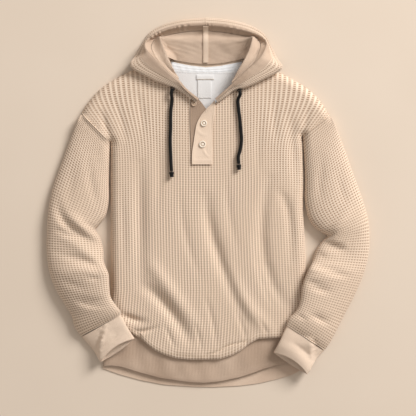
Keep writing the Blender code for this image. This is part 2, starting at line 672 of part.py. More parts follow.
def hood_inside(row, t):
    """A section's inner face: round the lip, over the lining's ridge and down to the neck seam."""
    under, crest, lip_top = hood_outside(row, t)
    lip = Vector((row.lip_x, row.lip_y, row.lip_z - LIP_ROLL))
    chord = lip_top.lerp(lip, 0.5)
    shoulder = chord.lerp(Vector((lip.x, lip.y, lip_top.z)), ROUND_SHARE)
    ridge = Vector((row.ridge_x, row.ridge_y, row.ridge_z))
    valley = lip.lerp(ridge, 0.4)
    valley.z = row.valley_z
    neck = Vector((row.neck_x, row.neck_y))
    inward = (ridge.xy - neck).normalized()
    end = neck + inward * NECK_INSET
    lift = FRONT_LIFT * (1 - ease(t / LIFTED_ROWS))
    end = Vector((end.x, end.y, over_shoulder(*end) + lift + WAFFLE + JERSEY + 4 * SEAM))
    middle = ridge.lerp(end, 0.55)
    middle.z = ridge.z + (end.z - ridge.z) * 0.75
    curl = 1 - ease((t - 6.0) / 2.5)
    below = ridge.lerp(middle, 0.4 - 0.35 * curl)
    below.z = ridge.z + (middle.z - ridge.z) * (0.4 + 0.3 * curl)
    return [lip_top, shoulder, lip, valley, ridge, below, middle, end]


def hood_half(side, table):
    outer_rows, casing_rows, lining_rows = [], [], []
    last = len(table) - 1
    for step in range(HOOD_STEPS + 1):
        t = last * step / HOOD_STEPS
        row = smooth_row(table, t)
        under, crest, lip = hood_outside(row, t)
        width = max((lip - crest).length, 1.0)
        split = 1 - min(CASING_WIDTH / width, CASING_SHARE)
        outer_rows.append(under + [crest, crest.lerp(lip, split * 0.5),
                                   crest.lerp(lip, split - SEAM / width)])
        inside = hood_inside(row, t)
        length = sum((b - a).length for a, b in zip(inside, inside[1:]))
        turn_in = min(CASING_INSIDE / length, 0.45)
        rolled = sum((b - a).length for a, b in zip(inside[:3], inside[1:3])) / length
        deep = ease((t - 4.0) / 2.0)
        turn_in = rolled + 2.0 / length + max(turn_in - rolled - 2.0 / length, 0.0) * deep
        casing = [crest.lerp(lip, split), crest.lerp(lip, (1 + split) / 2)] + inside[:3]
        casing += [smooth_points(inside, rolled + (turn_in - rolled) * f) for f in (0.5, 1.0)]
        casing_rows.append(casing)
        if t >= LINING_START:
            start = turn_in + 3 * SEAM / length
            line = [smooth_points(inside, start + (1 - start) * k / 9) for k in range(10)]
            for point in line:
                point.z = max(point.z, lining_floor(point.x, point.y))
            lining_rows.append(line)
    for rows in (outer_rows, casing_rows, lining_rows):
        gap = SEAM / 2 if side == "left" else -SEAM / 2
        rows[-1] = [Vector((table[-1].lip_x + gap, p.y, p.z)) for p in rows[-1]]
    flip = side == "left"
    cloth("hood_" + side, outer_rows, WAFFLE, "waffle", flip=flip)
    cloth("hood_casing_" + side, casing_rows, BAND, "jersey", flip=flip)
    cloth("hood_lining_" + side, lining_rows, JERSEY, "jersey", flip=flip)


def hood_seam_tape():
    centre = RIGHT_HOOD[-1]
    inside = hood_inside(centre, len(RIGHT_HOOD) - 1)
    rows = []
    for k in range(13):
        f = 0.03 + 0.93 * k / 12
        here = smooth_points(inside, f)
        ahead = smooth_points(inside, min(f + 0.02, 1.0))
        slope = (ahead - here).normalized()
        out = Vector((0, slope.z, -slope.y)).normalized()
        middle = here + out * (THIN + 2 * SEAM)
        rows.append([middle + Vector((dx, 0, 0)) for dx in (-TAPE_HALF, 0, TAPE_HALF)])
    cloth("hood_seam_tape", rows, THIN, "jersey")


# Inside the back neck

TAPE_TOP = [Point(*p) for p in (
    (-82, 313), (-66, 309), (-40, 304), (-5, 300), (28, 303), (58, 309), (76, 313))]
TAPE_BOTTOM = [Point(*p) for p in ((-76, 290), (-40, 287), (-5, 286), (30, 286), (70, 288))]
FACING_BOTTOM = [Point(*p) for p in (
    (-70, 255), (-55, 225), (-30, 201), (-5, 192), (20, 201), (47, 225), (64, 255))]


def neck_pieces():
    level = WAFFLE + SEAM + THIN
    columns = [k / 12 for k in range(13)]
    tape = []
    facing = []
    for f in (0, 0.5, 1):
        low = []
        for u in columns:
            bottom_x = TAPE_BOTTOM[0].x + (TAPE_BOTTOM[-1].x - TAPE_BOTTOM[0].x) * u
            top_x = TAPE_TOP[0].x + (TAPE_TOP[-1].x - TAPE_TOP[0].x) * u
            y = edge_at(TAPE_BOTTOM, bottom_x) * (1 - f) + edge_at(TAPE_TOP, top_x) * f
            low.append((bottom_x * (1 - f) + top_x * f, y, level))
        tape.append(low)
    for f in (0, 0.2, 0.4, 0.6, 0.8, 1):
        line = []
        for u in columns:
            bottom_x = FACING_BOTTOM[0].x + (FACING_BOTTOM[-1].x - FACING_BOTTOM[0].x) * u
            top_x = TAPE_BOTTOM[0].x + (TAPE_BOTTOM[-1].x - TAPE_BOTTOM[0].x) * u
            top_y = edge_at(TAPE_BOTTOM, top_x) - SEAM
            y = edge_at(FACING_BOTTOM, bottom_x) * (1 - f) + top_y * f
            line.append((bottom_x * (1 - f) + top_x * f, y, level))
        facing.append(line)
    cloth("neck_tape", tape, THIN, "white")
    cloth("back_facing", facing, THIN, "white")
    upper = level + SEAM + THIN
    for name, left, bottom, right, top in (("neck_label", -25.5, 272, 13, 283.5),
                                           ("size_label", -23, 231, 7.5, 271)):
        rows = [[(x, y, upper) for x in (left, (left + right) / 2, right)]
                for y in (bottom, (bottom + top) / 2, top)]
        cloth(name, rows, THIN, "white")


# The front opening

def on_front(x, y, layers):
    """The outer face of a strip that lies on the front panel, as the given layer."""
    return front_height(x, y) + layers * (THIN + SEAM) + SEAM


def placket_strip(name, table, layer):
    rows = []
    for row in reversed(table):
        line = []
        for f in (0, 0.25, 0.5, 0.75, 1):
            x = row.left_x + (row.right_x - row.left_x) * f
            y = row.left_y + (row.right_y - row.left_y) * f
            line.append((x, y, on_front(x, y, layer)))
        rows.append(line)
    cloth(name, rows, THIN, "jersey")


def buttons():
    for name, x, y, diameter, layers in BUTTONS:
        r = diameter / 2
        profile = [(share * r, height) for share, height in BUTTON_PROFILE]
        turned(name, profile, (x, y, on_front(x, y, layers) + 2 * SEAM), (0, 0, 1), "button")


# The drawcord

def eyelet_centre(side, table):
    under = hood_outside(smooth_row(table, EYELET_ROW[side]), EYELET_ROW[side])[0]
    return under[-2] + Vector((0, 0, EYELET_RISE)) + Vector(EYELET_AXIS[side]) * EYELET_OUT


def drawcord(side, table, route):
    centre = eyelet_centre(side, table)
    axis = Vector(EYELET_AXIS[side]).normalized()
    bpy.ops.mesh.primitive_torus_add(major_segments=16, minor_segments=6,
                                     major_radius=EYELET_RING * MM, minor_radius=EYELET_WIRE * MM)
    ring_object = bpy.context.object
    ring_object.name = "eyelet_" + side
    ring_object.location = centre * MM
    ring_object.rotation_mode = "QUATERNION"
    ring_object.rotation_quaternion = Vector((0, 0, 1)).rotation_difference(axis)
    for owner in list(ring_object.users_collection):
        owner.objects.unlink(ring_object)
    place(ring_object, "eyelet")
    radius = CORD_DIAMETER / 2
    points = [centre + axis * 0.3, centre + axis * 7]
    for k, p in enumerate(route):
        knot_room = KNOT_ROOM * ease((k - len(route) + 4) / 3)
        points.append(Vector((p.x, p.y, front_height(p.x, p.y) + radius + CLEAR + knot_room)))
    count = 16
    path = [smooth_points(points, k / count) for k in range(count + 1)]
    curve = bpy.data.curves.new("drawcord_" + side, "CURVE")
    curve.dimensions = "3D"
    curve.bevel_depth = radius * MM
    curve.bevel_resolution = 2
    curve.use_fill_caps = True
    spline = curve.splines.new("POLY")
    spline.points.add(len(path) - 1)
    for point, where in zip(spline.points, path):
        point.co = (where.x * MM, where.y * MM, where.z * MM, 1)
    place(bpy.data.objects.new("drawcord_" + side, curve), "cord")
    heading = (path[-1] - path[-2]).normalized()
    start = path[-1] + heading * SEAM
    turned("knot_" + side, KNOT, start, -heading, "cord", steps=14)


def clear_scene():
    for obj in list(bpy.data.objects):
        bpy.data.objects.remove(obj)


clear_scene()
COLLECTION = bpy.data.collections.new("hoodie")
bpy.context.scene.collection.children.link(COLLECTION)
front_body()
hem_band_front()
back_body()
hem_band_back()
sleeve("right", RIGHT_SLEEVE, RIGHT_SLEEVE_FOLDS)
sleeve("left", LEFT_SLEEVE, LEFT_SLEEVE_FOLDS)
cuff("right", RIGHT_CUFF)
cuff("left", LEFT_CUFF)
hood_half("right", RIGHT_HOOD)
hood_half("left", LEFT_HOOD)
hood_seam_tape()
neck_pieces()
placket_strip("placket_under", PLACKET_UNDER, 1)
placket_strip("placket_top", PLACKET_TOP, 2)
buttons()
drawcord("right", RIGHT_HOOD, RIGHT_CORD)
drawcord("left", LEFT_HOOD, LEFT_CORD)
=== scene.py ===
# %% [markdown]
# # A waffle-knit hoodie, laid flat
#
# The hoodie lies on its back on a pale surface, seen from straight above. Its solids come from the packed
# model, and each cell below makes one kind of piece around them: knit panels, sleeves, the hood, tapes,
# placket, buttons, cord and stitching. Tables are in millimetres, meshes in metres.

import bpy
import numpy as np
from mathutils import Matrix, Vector
from mathutils.bvhtree import BVHTree


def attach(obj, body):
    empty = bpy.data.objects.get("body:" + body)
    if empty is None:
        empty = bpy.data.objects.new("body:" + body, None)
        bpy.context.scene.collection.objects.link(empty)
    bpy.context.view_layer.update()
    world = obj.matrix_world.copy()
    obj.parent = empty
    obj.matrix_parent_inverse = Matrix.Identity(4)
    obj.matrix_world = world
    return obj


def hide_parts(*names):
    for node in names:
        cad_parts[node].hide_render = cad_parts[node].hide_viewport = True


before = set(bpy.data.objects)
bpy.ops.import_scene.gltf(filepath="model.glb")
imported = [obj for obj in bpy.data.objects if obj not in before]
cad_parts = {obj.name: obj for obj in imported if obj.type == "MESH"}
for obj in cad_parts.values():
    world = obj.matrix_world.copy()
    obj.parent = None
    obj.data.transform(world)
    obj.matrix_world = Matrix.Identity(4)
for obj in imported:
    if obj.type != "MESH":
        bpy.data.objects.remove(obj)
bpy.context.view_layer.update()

MM = 0.001              # the tables' unit in metres
SEAM = 0.3              # between pieces that are sewn together
WAFFLE = 2.0            # the walls: waffle knit
JERSEY = 1.2            # the hood's lining
THIN = 1.0              # strips, tapes and labels
BAND = 2.2              # jersey that is folded double

# %% [markdown]
# ## Camera
# The photograph is taken from straight above with a long lens, so nothing is seen from its side. A camera
# without any turn looks down its own -Z with +Y up, which is what is wanted here: it only has to be high
# enough for its frame to hold 915 mm of the surface.

# %% Camera
FRAME_WIDTH = 0.915
LENS = 100.0
SENSOR = 36.0
GARMENT_HEIGHT = 0.024
camera_data = bpy.data.cameras.new("camera")
camera_data.lens = LENS
camera_data.sensor_width = SENSOR
camera = bpy.data.objects.new("camera", camera_data)
camera.location = (0.0, -0.012, GARMENT_HEIGHT + FRAME_WIDTH * LENS / SENSOR)
bpy.context.scene.collection.objects.link(camera)
bpy.context.scene.camera = camera
print("camera height", round(camera.location.z, 3))

# %% [markdown]
# ## Curves and surfaces through tables
# Every form here is a small table of measured places. A smooth curve through them is read at even steps, so
# that one rib of the knit is the same size everywhere. The tangents are weighted by the gaps between the
# rows, which keeps the curve from swinging out where a short gap follows a long one.

# %% Smooth curves through a table
def curve_at(grid, places, closed=False):
    """Points, or rows of points, at places from 0 to 1 by length on a smooth curve through the grid."""
    ends = np.concatenate([grid, grid[:1]]) if closed else np.asarray(grid, float)
    gaps = np.linalg.norm(np.diff(ends, axis=0), axis=-1).reshape(len(ends) - 1, -1).mean(1)
    lengths = np.concatenate([[0.0], np.cumsum(gaps)])
    shape = (-1,) + (1,) * (ends.ndim - 1)
    gaps = gaps.reshape(shape)
    slopes = np.diff(ends, axis=0) / gaps
    inner = (slopes[:-1] * gaps[1:] + slopes[1:] * gaps[:-1]) / (gaps[1:] + gaps[:-1])
    first, last = slopes[:1], slopes[-1:]
    if closed:
        first = last = (last * gaps[:1] + first * gaps[-1:]) / (gaps[:1] + gaps[-1:])
    tangents = np.concatenate([first, inner, last])
    along = np.asarray(places) * lengths[-1]
    i = np.clip(np.searchsorted(lengths, along, side="right") - 1, 0, len(gaps) - 1)
    gap = gaps[i]
    f = (along - lengths[i]).reshape(shape) / gap
    return (ends[i] * (2 * f ** 3 - 3 * f ** 2 + 1) + tangents[i] * gap * (f ** 3 - 2 * f ** 2 + f)
            + ends[i + 1] * (3 * f ** 2 - 2 * f ** 3) + tangents[i + 1] * gap * (f ** 3 - f ** 2))


def resample(grid, steps, closed=False):
    """The same curve in even steps; a closed one doesn't repeat its first point."""
    places = np.linspace(0, 1, steps + 1)
    return curve_at(grid, places[:-1] if closed else places, closed)


def smooth_rows(table, t):
    """Rows of a table at places t, counted in rows, on a smooth curve through all of them."""
    last = len(table) - 1
    i = np.clip(t.astype(int), 0, last - 1)
    f = (t - i)[:, None]
    p, q, r, s = (table[np.clip(i + k, 0, last)] for k in (-1, 0, 1, 2))
    return 0.5 * (2 * q + (r - p) * f + (2 * p - 5 * q + 4 * r - s) * f ** 2
                  + (3 * q - p - 3 * r + s) * f ** 3)


def ease(t):
    """From 0 to 1, with a soft start and end."""
    t = np.clip(t, 0, 1)
    return t * t * (3 - 2 * t)


def unit(v):
    return v / np.linalg.norm(v, axis=-1, keepdims=True)


def edge_at(edge, x):
    """The y of an edge that is a table of points in order of x."""
    return np.interp(x, edge[:, 0], edge[:, 1])


def side_at(side, y):
    """The x of a side that is a table of points in order of y."""
    return np.interp(y, side[:, 1], side[:, 0])


def distance_to(chain, x, y):
    """Distance from a chain of points, and the place of the nearest point from 0 to 1."""
    best = np.full(np.shape(x), np.inf)
    place = np.zeros(np.shape(x))
    for k, ((ax, ay), (bx, by)) in enumerate(zip(chain[:-1], chain[1:])):
        dx, dy = bx - ax, by - ay
        f = np.clip(((x - ax) * dx + (y - ay) * dy) / (dx * dx + dy * dy), 0, 1)
        gap = np.hypot(x - ax - f * dx, y - ay - f * dy)
        place = np.where(gap < best, (k + f) / (len(chain) - 1), place)
        best = np.minimum(gap, best)
    return best, place


print("a quarter of the way along a bent line:",
      curve_at(np.array([(0, 0), (10, 0), (10, 10)], float), [0.25]).round(2))

# %% [markdown]
# ## Closed shells of cloth
# Cloth has two faces. The outer one is a fine grid that can carry the knit, and the inner one repeats only
# every third row and column, because nothing fine is seen there. Points that fall together are merged, and
# a strip round each rim joins the two faces, so that every piece is one closed body. The UV map "cell"
# counts ribs or millimetres across and along, and "relief" says where the knit may be raised.

# %% Closed shells
def triangles(ids):
    """Triangles over a grid of vertex numbers, as places in that grid, without the collapsed ones."""
    place = np.arange(ids.size).reshape(ids.shape)
    a, b, c, d = place[:-1, :-1], place[:-1, 1:], place[1:, 1:], place[1:, :-1]
    corners = np.concatenate([np.stack(t, -1).reshape(-1, 3) for t in ((a, b, c), (a, c, d))])
    used = ids.ravel()[corners]
    whole = (used[:, 0] != used[:, 1]) & (used[:, 1] != used[:, 2]) & (used[:, 2] != used[:, 0])
    return corners[whole]


def rims(faces):
    """The open edges of some faces, as loops of vertex numbers."""
    edges = np.concatenate([faces[:, [0, 1]], faces[:, [1, 2]], faces[:, [2, 0]]])
    size = faces.max() + 1
    single = ~np.isin(edges[:, 0] * size + edges[:, 1], edges[:, 1] * size + edges[:, 0])
    following = dict(edges[single].tolist())
    loops = []
    while following:
        here = next(iter(following))
        loop = []
        while here in following:
            loop.append(here)
            here = following.pop(here)
        loops.append(loop)
    return loops


def join_rims(outer, inner, points):
    """Triangles between two loops, always over the shorter diagonal."""
    turn = int(np.argmin(np.linalg.norm(points[inner] - points[outer[0]], axis=1)))
    inner = inner[turn:] + inner[:turn + 1]
    outer = outer + outer[:1]
    strip = []
    i = j = 0
    while i < len(outer) - 1 or j < len(inner) - 1:
        over = np.linalg.norm(points[outer[i + 1]] - points[inner[j]]) if i < len(outer) - 1 else np.inf
        under = np.linalg.norm(points[outer[i]] - points[inner[j + 1]]) if j < len(inner) - 1 else np.inf
        if over <= under:
            strip.append((outer[i + 1], outer[i], inner[j]))
            i += 1
        else:
            strip.append((outer[i], inner[j], inner[j + 1]))
            j += 1
    return strip


def vertex_normals(points, faces):
    a, b, c = (points[faces[:, k]] for k in range(3))
    cross = np.cross(b - a, c - a)
    total = np.zeros_like(points)
    for k in range(3):
        np.add.at(total, faces[:, k], cross)
    return total / np.maximum(np.linalg.norm(total, axis=1, keepdims=True), 1e-9)


def new_object(name, points, faces, uvs, relief=None):
    """A mesh object in metres; relief is one number for each point."""
    mesh = bpy.data.meshes.new(name)
    mesh.from_pydata((points * MM).tolist(), [], faces.tolist())
    mesh.uv_layers.new(name="cell").data.foreach_set("uv", uvs.astype(np.float32).ravel())
    if relief is not None:
        mesh.attributes.new("relief", "FLOAT", "POINT").data.foreach_set("value", relief.astype(np.float32))
    mesh.shade_smooth()
    mesh.set_sharp_from_angle(angle=np.radians(62))
    obj = bpy.data.objects.new(name, mesh)
    bpy.context.scene.collection.objects.link(obj)
    return obj


def numbered(grid, closed):
    """Vertex numbers for a grid, one number for points that fall together."""
    if closed:
        grid = np.concatenate([grid, grid[:, :1]], axis=1)
    flat = grid.reshape(-1, 3)
    _, first, ids = np.unique(np.round(flat, 2), axis=0, return_index=True, return_inverse=True)
    return flat[first], first, ids.reshape(grid.shape[:2])


def shell(name, grid, cell, wall, closed=False, flip=False, coarse=3):
    """A closed piece of cloth whose outer face is a grid of rows; cell has one more column if closed."""
    if flip:
        grid, cell = grid[::-1], cell[::-1]
    points, first, ids = numbered(grid, closed)
    uv = cell.reshape(-1, 2)
    corners = triangles(ids)
    outer = ids.ravel()[corners]
    normals = vertex_normals(points, outer)
    kept = [np.unique(np.append(np.arange(0, n, coarse), n - 1)) for n in ids.shape]
    sparse = np.ix_(*kept)
    place = np.arange(ids.size).reshape(ids.shape)[sparse].ravel()
    inner_corners = place[triangles(ids[sparse])]
    used, inner = np.unique(ids.ravel()[inner_corners], return_inverse=True)
    inner = inner.reshape(-1, 3) + len(points)
    everything = np.concatenate([points, points[used] - normals[used] * wall])
    everything[:, 2] = np.maximum(everything[:, 2], 0)      # the cloth lies on the surface
    point_uv = np.concatenate([uv[first], uv[first][used]])
    strip = []
    inner_rims = rims(inner)
    relief = np.zeros(len(everything))
    relief[:len(points)] = 1
    for loop in rims(outer):
        relief[loop] = 0
        near = min(inner_rims, key=lambda other: np.linalg.norm(
            everything[other] - everything[loop[0]], axis=1).min())
        strip += join_rims(loop, near, everything)
    strip = np.array(strip)
    faces = np.concatenate([outer, inner[:, ::-1], strip])
    uvs = np.concatenate([uv[corners], uv[inner_corners[:, ::-1]], point_uv[strip]])
    obj = new_object(name, everything, faces, uvs, relief)
    print(name, len(faces), "triangles,", len(inner_rims), "rims")
    return obj


def skin(name, grid, cell):
    """A closed body from rings of points, with a pole at each end."""
    points, first, ids = numbered(grid, True)
    corners = triangles(ids)
    return new_object(name, points, ids.ravel()[corners], cell.reshape(-1, 2)[corners])


def counted(rows, columns, row_unit=1.0, column_unit=1.0):
    """The cell of each grid point, counted from its first row and column."""
    u, v = np.meshgrid(np.arange(columns) * column_unit, np.arange(rows) * row_unit)
    return np.stack([u, v], -1)

# %% [markdown]
# ## Node trees in Python
# A material or a Geometry Nodes tree is easier to read as an expression than as a list of links. `Value`
# wraps a socket so that `+`, `*` and the others each add a Math node, and `Tree.node` makes any other node.

# %% Node helpers
def math_node(operation, flipped=False):
    def apply(self, other=None):
        a, b = (other, self) if flipped else (self, other)
        return self.tree.node("ShaderNodeMath", a, b, operation=operation)
    return apply


class Value:
    """A socket that takes part in Python expressions."""

    def __init__(self, tree, socket):
        self.tree = tree
        self.socket = socket

    __add__ = math_node("ADD")
    __radd__ = math_node("ADD", True)
    __sub__ = math_node("SUBTRACT")
    __rsub__ = math_node("SUBTRACT", True)
    __mul__ = math_node("MULTIPLY")
    __rmul__ = math_node("MULTIPLY", True)
    __truediv__ = math_node("DIVIDE")
    fraction = math_node("FRACT")
    absolute = math_node("ABSOLUTE")
    sine = math_node("SINE")
    most = math_node("MAXIMUM")

    def ramp(self, low, high, start=0.0, end=1.0):
        """From start at low to end at high, soft between."""
        return self.tree.node("ShaderNodeMapRange", self, low, high, start, end,
                              interpolation_type="SMOOTHSTEP", clamp=True)

    def split(self):
        """Its x, y and z."""
        made = self.tree.node("ShaderNodeSeparateXYZ", self).socket.node
        return [Value(self.tree, socket) for socket in made.outputs]


class Tree:
    """A node tree with one method that makes a node, sets it up and links it."""

    def __init__(self, tree):
        self.tree = tree
        self.nodes = tree.nodes
        self.links = tree.links

    def node(self, kind, *inputs, output=0, named=(), **settings):
        made = self.nodes.new(kind)
        for key, value in settings.items():
            setattr(made, key, value)
        places = [(made.inputs[k], value) for k, value in enumerate(inputs)]
        places += [(made.inputs[key], value) for key, value in dict(named).items()]
        for socket, value in places:
            if isinstance(value, Value):
                self.links.new(value.socket, socket)
            elif value is not None:
                socket.default_value = value
        return Value(self, made.outputs[output])

    def mix(self, factor, a, b):
        """A colour between a and b."""
        return self.node("ShaderNodeMix", output=2, named={0: factor, 6: a, 7: b}, data_type="RGBA")

    def noise(self, vector, scale, detail=2.0):
        return self.node("ShaderNodeTexNoise", named={"Vector": vector, "Scale": scale, "Detail": detail})

    def bump(self, height, distance, normal=None):
        return self.node("ShaderNodeBump", named={"Height": height, "Distance": distance, "Strength": 1.0,
                                                  "Normal": normal})


def rib(place):
    """1 on a rib and 0 in the hollow beside it, where place counts ribs."""
    return ((place + 0.5).fraction() - 0.5).absolute().ramp(0.10, 0.38, 1.0, 0.0)


CROSS_RIB = 0.86        # how high the lesser ribs stand, as a share of the main ones


# %% [markdown]
# ## Cloth, cord, button and metal
# All the cloth here is cotton: it scatters light softly, has a little sheen along its edges, and shows its
# construction before it shows its colour. Each material therefore starts from the place in the knit, which
# the UV map "cell" carries, and only then varies the colour over larger distances, as worn and washed
# cotton does. The waffle knit's hollows are also painted darker than its ribs, as painted shade. The one
# jersey has a row of shades: copies painted lighter, as painted light, for the cuffs, the upper placket
# strip and the hood's seam tape, and copies painted darker, as painted shade, for the casing, the hem band
# and the placket's under strip. The white neck tape is the white jersey painted whiter, as painted light.
# Every distance below is in metres.

# %% Materials
def principled(name, colour, roughness, sheen=0.0, metallic=0.0):
    made = bpy.data.materials.new(name)
    made.use_nodes = True
    shader = made.node_tree.nodes["Principled BSDF"]
    shader.inputs["Base Color"].default_value = colour
    shader.inputs["Roughness"].default_value = roughness
    shader.inputs["Metallic"].default_value = metallic
    shader.inputs["Sheen Weight"].default_value = sheen
    shader.inputs["Sheen Roughness"].default_value = 0.4
    shader.inputs["Specular IOR Level"].default_value = 0.25 if sheen else 0.5
    made.diffuse_color = colour
    tree = Tree(made.node_tree)
    shader_inputs = shader.inputs

    def feed(**values):
        for key, value in values.items():
            tree.links.new(value.socket, shader_inputs[key.replace("_", " ")])
    return made, tree, feed


def cell_and_place(tree):
    u, v, _ = tree.node("ShaderNodeUVMap", uv_map="cell").split()
    place = tree.node("ShaderNodeTexCoord", output=3)
    return u, v, place


def waffle_material():
    made, tree, feed = principled("waffle_knit", (0.80, 0.65, 0.52, 1), 0.9, sheen=0.12)
    u, v, place = cell_and_place(tree)
    raised = rib(u).most(rib(v) * CROSS_RIB)
    large = tree.noise(place, 9.0)
    yarn = tree.noise(place, 900.0, 1.0)
    stitches = (u * 6.2832 * 4).sine() * 0.5 + (v * 6.2832 * 3).sine() * 0.5
    # painted shade: the hollows between the ribs are coloured dark brown and the ribs light, on top of the
    # shade that the sunken hollows cast
    colour = tree.mix(raised, (0.36, 0.225, 0.145, 1), (0.90, 0.745, 0.605, 1))
    colour = tree.mix(large.ramp(0.35, 0.7, 0.0, 0.3), colour, (0.74, 0.575, 0.44, 1))
    feed(Base_Color=colour, Roughness=raised.ramp(0, 1, 0.95, 0.82),
         Normal=tree.bump(stitches * 0.5 + yarn, 0.0004))
    return made


def jersey_material(name, shade, light):
    made, tree, feed = principled(name, light, 0.9, sheen=0.10)
    u, v, place = cell_and_place(tree)
    columns = (u * (6.2832 / 1.9)).sine()
    rows = (v * (6.2832 / 1.3) + columns).sine()
    large = tree.noise(place, 11.0)
    yarn = tree.noise(place, 1200.0, 1.0)
    tone = columns * 0.12 + yarn * 0.35 + large * 0.55
    feed(Base_Color=tree.mix(tone.ramp(0.2, 0.75), shade, light),
         Roughness=tone.ramp(0.2, 0.8, 0.96, 0.84),
         Normal=tree.bump(columns * 0.7 + rows * 0.2 + yarn * 0.6, 0.00022))
    return made


def cord_material():
    made, tree, feed = principled("cord", (0.006, 0.006, 0.007, 1), 0.75, sheen=0.03)
    u, v, place = cell_and_place(tree)
    strands = ((u + v) * 6.2832).sine() * ((u - v) * 6.2832).sine()
    fibre = tree.noise(place, 1500.0, 1.0)
    feed(Base_Color=tree.mix(strands.ramp(-1.0, 1.0), (0.002, 0.002, 0.002, 1), (0.011, 0.010, 0.010, 1)),
         Roughness=fibre.ramp(0.3, 0.7, 0.55, 0.85), Normal=tree.bump(strands + fibre * 0.3, 0.0003))
    return made


def button_material(name="button", dull=(0.84, 0.75, 0.63, 1), bright=(0.93, 0.87, 0.77, 1)):
    made, tree, feed = principled(name, bright, 0.3)
    u, v, place = cell_and_place(tree)
    cloud = tree.noise(place, 220.0, 3.0)
    groove = v.ramp(0.34, 0.46) * v.ramp(0.56, 0.70, 1.0, 0.0)
    cream = tree.mix(cloud.ramp(0.3, 0.7), dull, bright)
    feed(Base_Color=tree.mix(groove, cream, (0.44, 0.29, 0.19, 1)),
         Roughness=cloud.ramp(0.3, 0.7, 0.22, 0.38), Normal=tree.bump(cloud, 0.00005))
    return made


def eyelet_material():
    made, tree, feed = principled("eyelet", (0.03, 0.03, 0.032, 1), 0.35, metallic=1.0)
    u, v, place = cell_and_place(tree)
    wear = tree.noise(place, 700.0, 3.0)
    feed(Base_Color=tree.mix(wear.ramp(0.5, 0.75), (0.02, 0.02, 0.021, 1), (0.10, 0.095, 0.09, 1)),
         Roughness=wear.ramp(0.3, 0.7, 0.28, 0.5), Normal=tree.bump(wear, 0.00004))
    return made


def thread_material():
    made, tree, feed = principled("thread", (0.72, 0.58, 0.43, 1), 0.6, sheen=0.2)
    u, v, place = cell_and_place(tree)
    twist = tree.noise(place, 1800.0, 1.0)
    feed(Base_Color=tree.mix(twist.ramp(0.3, 0.7), (0.60, 0.47, 0.33, 1), (0.84, 0.72, 0.56, 1)),
         Roughness=twist.ramp(0.3, 0.7, 0.5, 0.75), Normal=tree.bump(twist, 0.0001))
    return made


# the darker and the lighter tone of each jersey; some rows are copies of the plain or the white jersey with
# painted light or painted shade
JERSEYS = {
    "plain_jersey": ((0.60, 0.445, 0.335, 1), (0.84, 0.67, 0.535, 1)),
    # a copy painted lighter: painted light
    "lit_jersey": ((0.81, 0.635, 0.50, 1), (0.96, 0.785, 0.635, 1)),
    # a copy painted darker: painted shade
    "shaded_jersey": ((0.42, 0.30, 0.22, 1), (0.74, 0.58, 0.455, 1)),
    # a copy painted darker still: painted shade
    "darker_shaded_jersey": ((0.34, 0.24, 0.175, 1), (0.56, 0.42, 0.32, 1)),
    "white_jersey": ((0.80, 0.80, 0.81, 1), (0.92, 0.92, 0.93, 1)),
    # a copy of the white jersey painted whiter and bluer: painted light
    "lit_white_jersey": ((0.90, 0.93, 0.97, 1), (0.95, 0.97, 1.0, 1))}
MATERIALS = {
    "waffle_knit": waffle_material(),
    **{name: jersey_material(name, *tones) for name, tones in JERSEYS.items()},
    "cord": cord_material(),
    "button": button_material(),
    "shaded_button": button_material("shaded_button", (0.56, 0.42, 0.31, 1), (0.66, 0.52, 0.40, 1)),
    "eyelet": eyelet_material(),
    "thread": thread_material()}
print(len(MATERIALS), "materials")

# %% [markdown]
# ## Geometry Nodes: raised knit and stitches
# The knit is one rule used thousands of times, so it is a tree: every point between two ribs sinks along
# its normal, and the ribs stay where the cloth is. A stitch is small and repeats along a line, so the
# second tree walks a line in even steps and puts one thread there, turned along the line. Both end in plain
# meshes: instances are realized, and the result is copied out of the modifier.

# %% Geometry Nodes trees
def new_tree(name, sockets):
    """A Geometry Nodes tree with named inputs, and the values that its group input gives."""
    group = bpy.data.node_groups.new(name, "GeometryNodeTree")
    group.interface.new_socket("Geometry", in_out="OUTPUT", socket_type="NodeSocketGeometry")
    for key, kind in sockets.items():
        group.interface.new_socket(key, in_out="INPUT", socket_type=kind)
    tree = Tree(group)
    start = tree.nodes.new("NodeGroupInput")
    values = {key: Value(tree, start.outputs[key]) for key in sockets}
    return tree, values


def close_tree(tree, geometry, material):
    real = tree.node("GeometryNodeRealizeInstances", geometry)
    painted = tree.node("GeometryNodeSetMaterial", named={"Geometry": real, "Material": material})
    end = tree.nodes.new("NodeGroupOutput")
    tree.links.new(painted.socket, end.inputs[0])
    return tree.tree


def relief_tree():
    tree, given = new_tree("raised knit", {
        "Geometry": "NodeSocketGeometry", "Depth": "NodeSocketFloat", "Cross Rib": "NodeSocketFloat",
        "Material": "NodeSocketMaterial"})
    cell = tree.node("GeometryNodeInputNamedAttribute", named={"Name": "cell"}, data_type="FLOAT_VECTOR")
    u, v, _ = cell.split()
    allowed = tree.node("GeometryNodeInputNamedAttribute", named={"Name": "relief"}, data_type="FLOAT")
    height = rib(u).most(rib(v) * given["Cross Rib"])
    sink = (height - 1.0) * given["Depth"] * allowed
    normal = tree.node("GeometryNodeInputNormal")
    offset = tree.node("ShaderNodeVectorMath", normal, named={"Scale": sink}, operation="SCALE")
    moved = tree.node("GeometryNodeSetPosition", named={"Geometry": given["Geometry"], "Offset": offset})
    return close_tree(tree, moved, given["Material"])


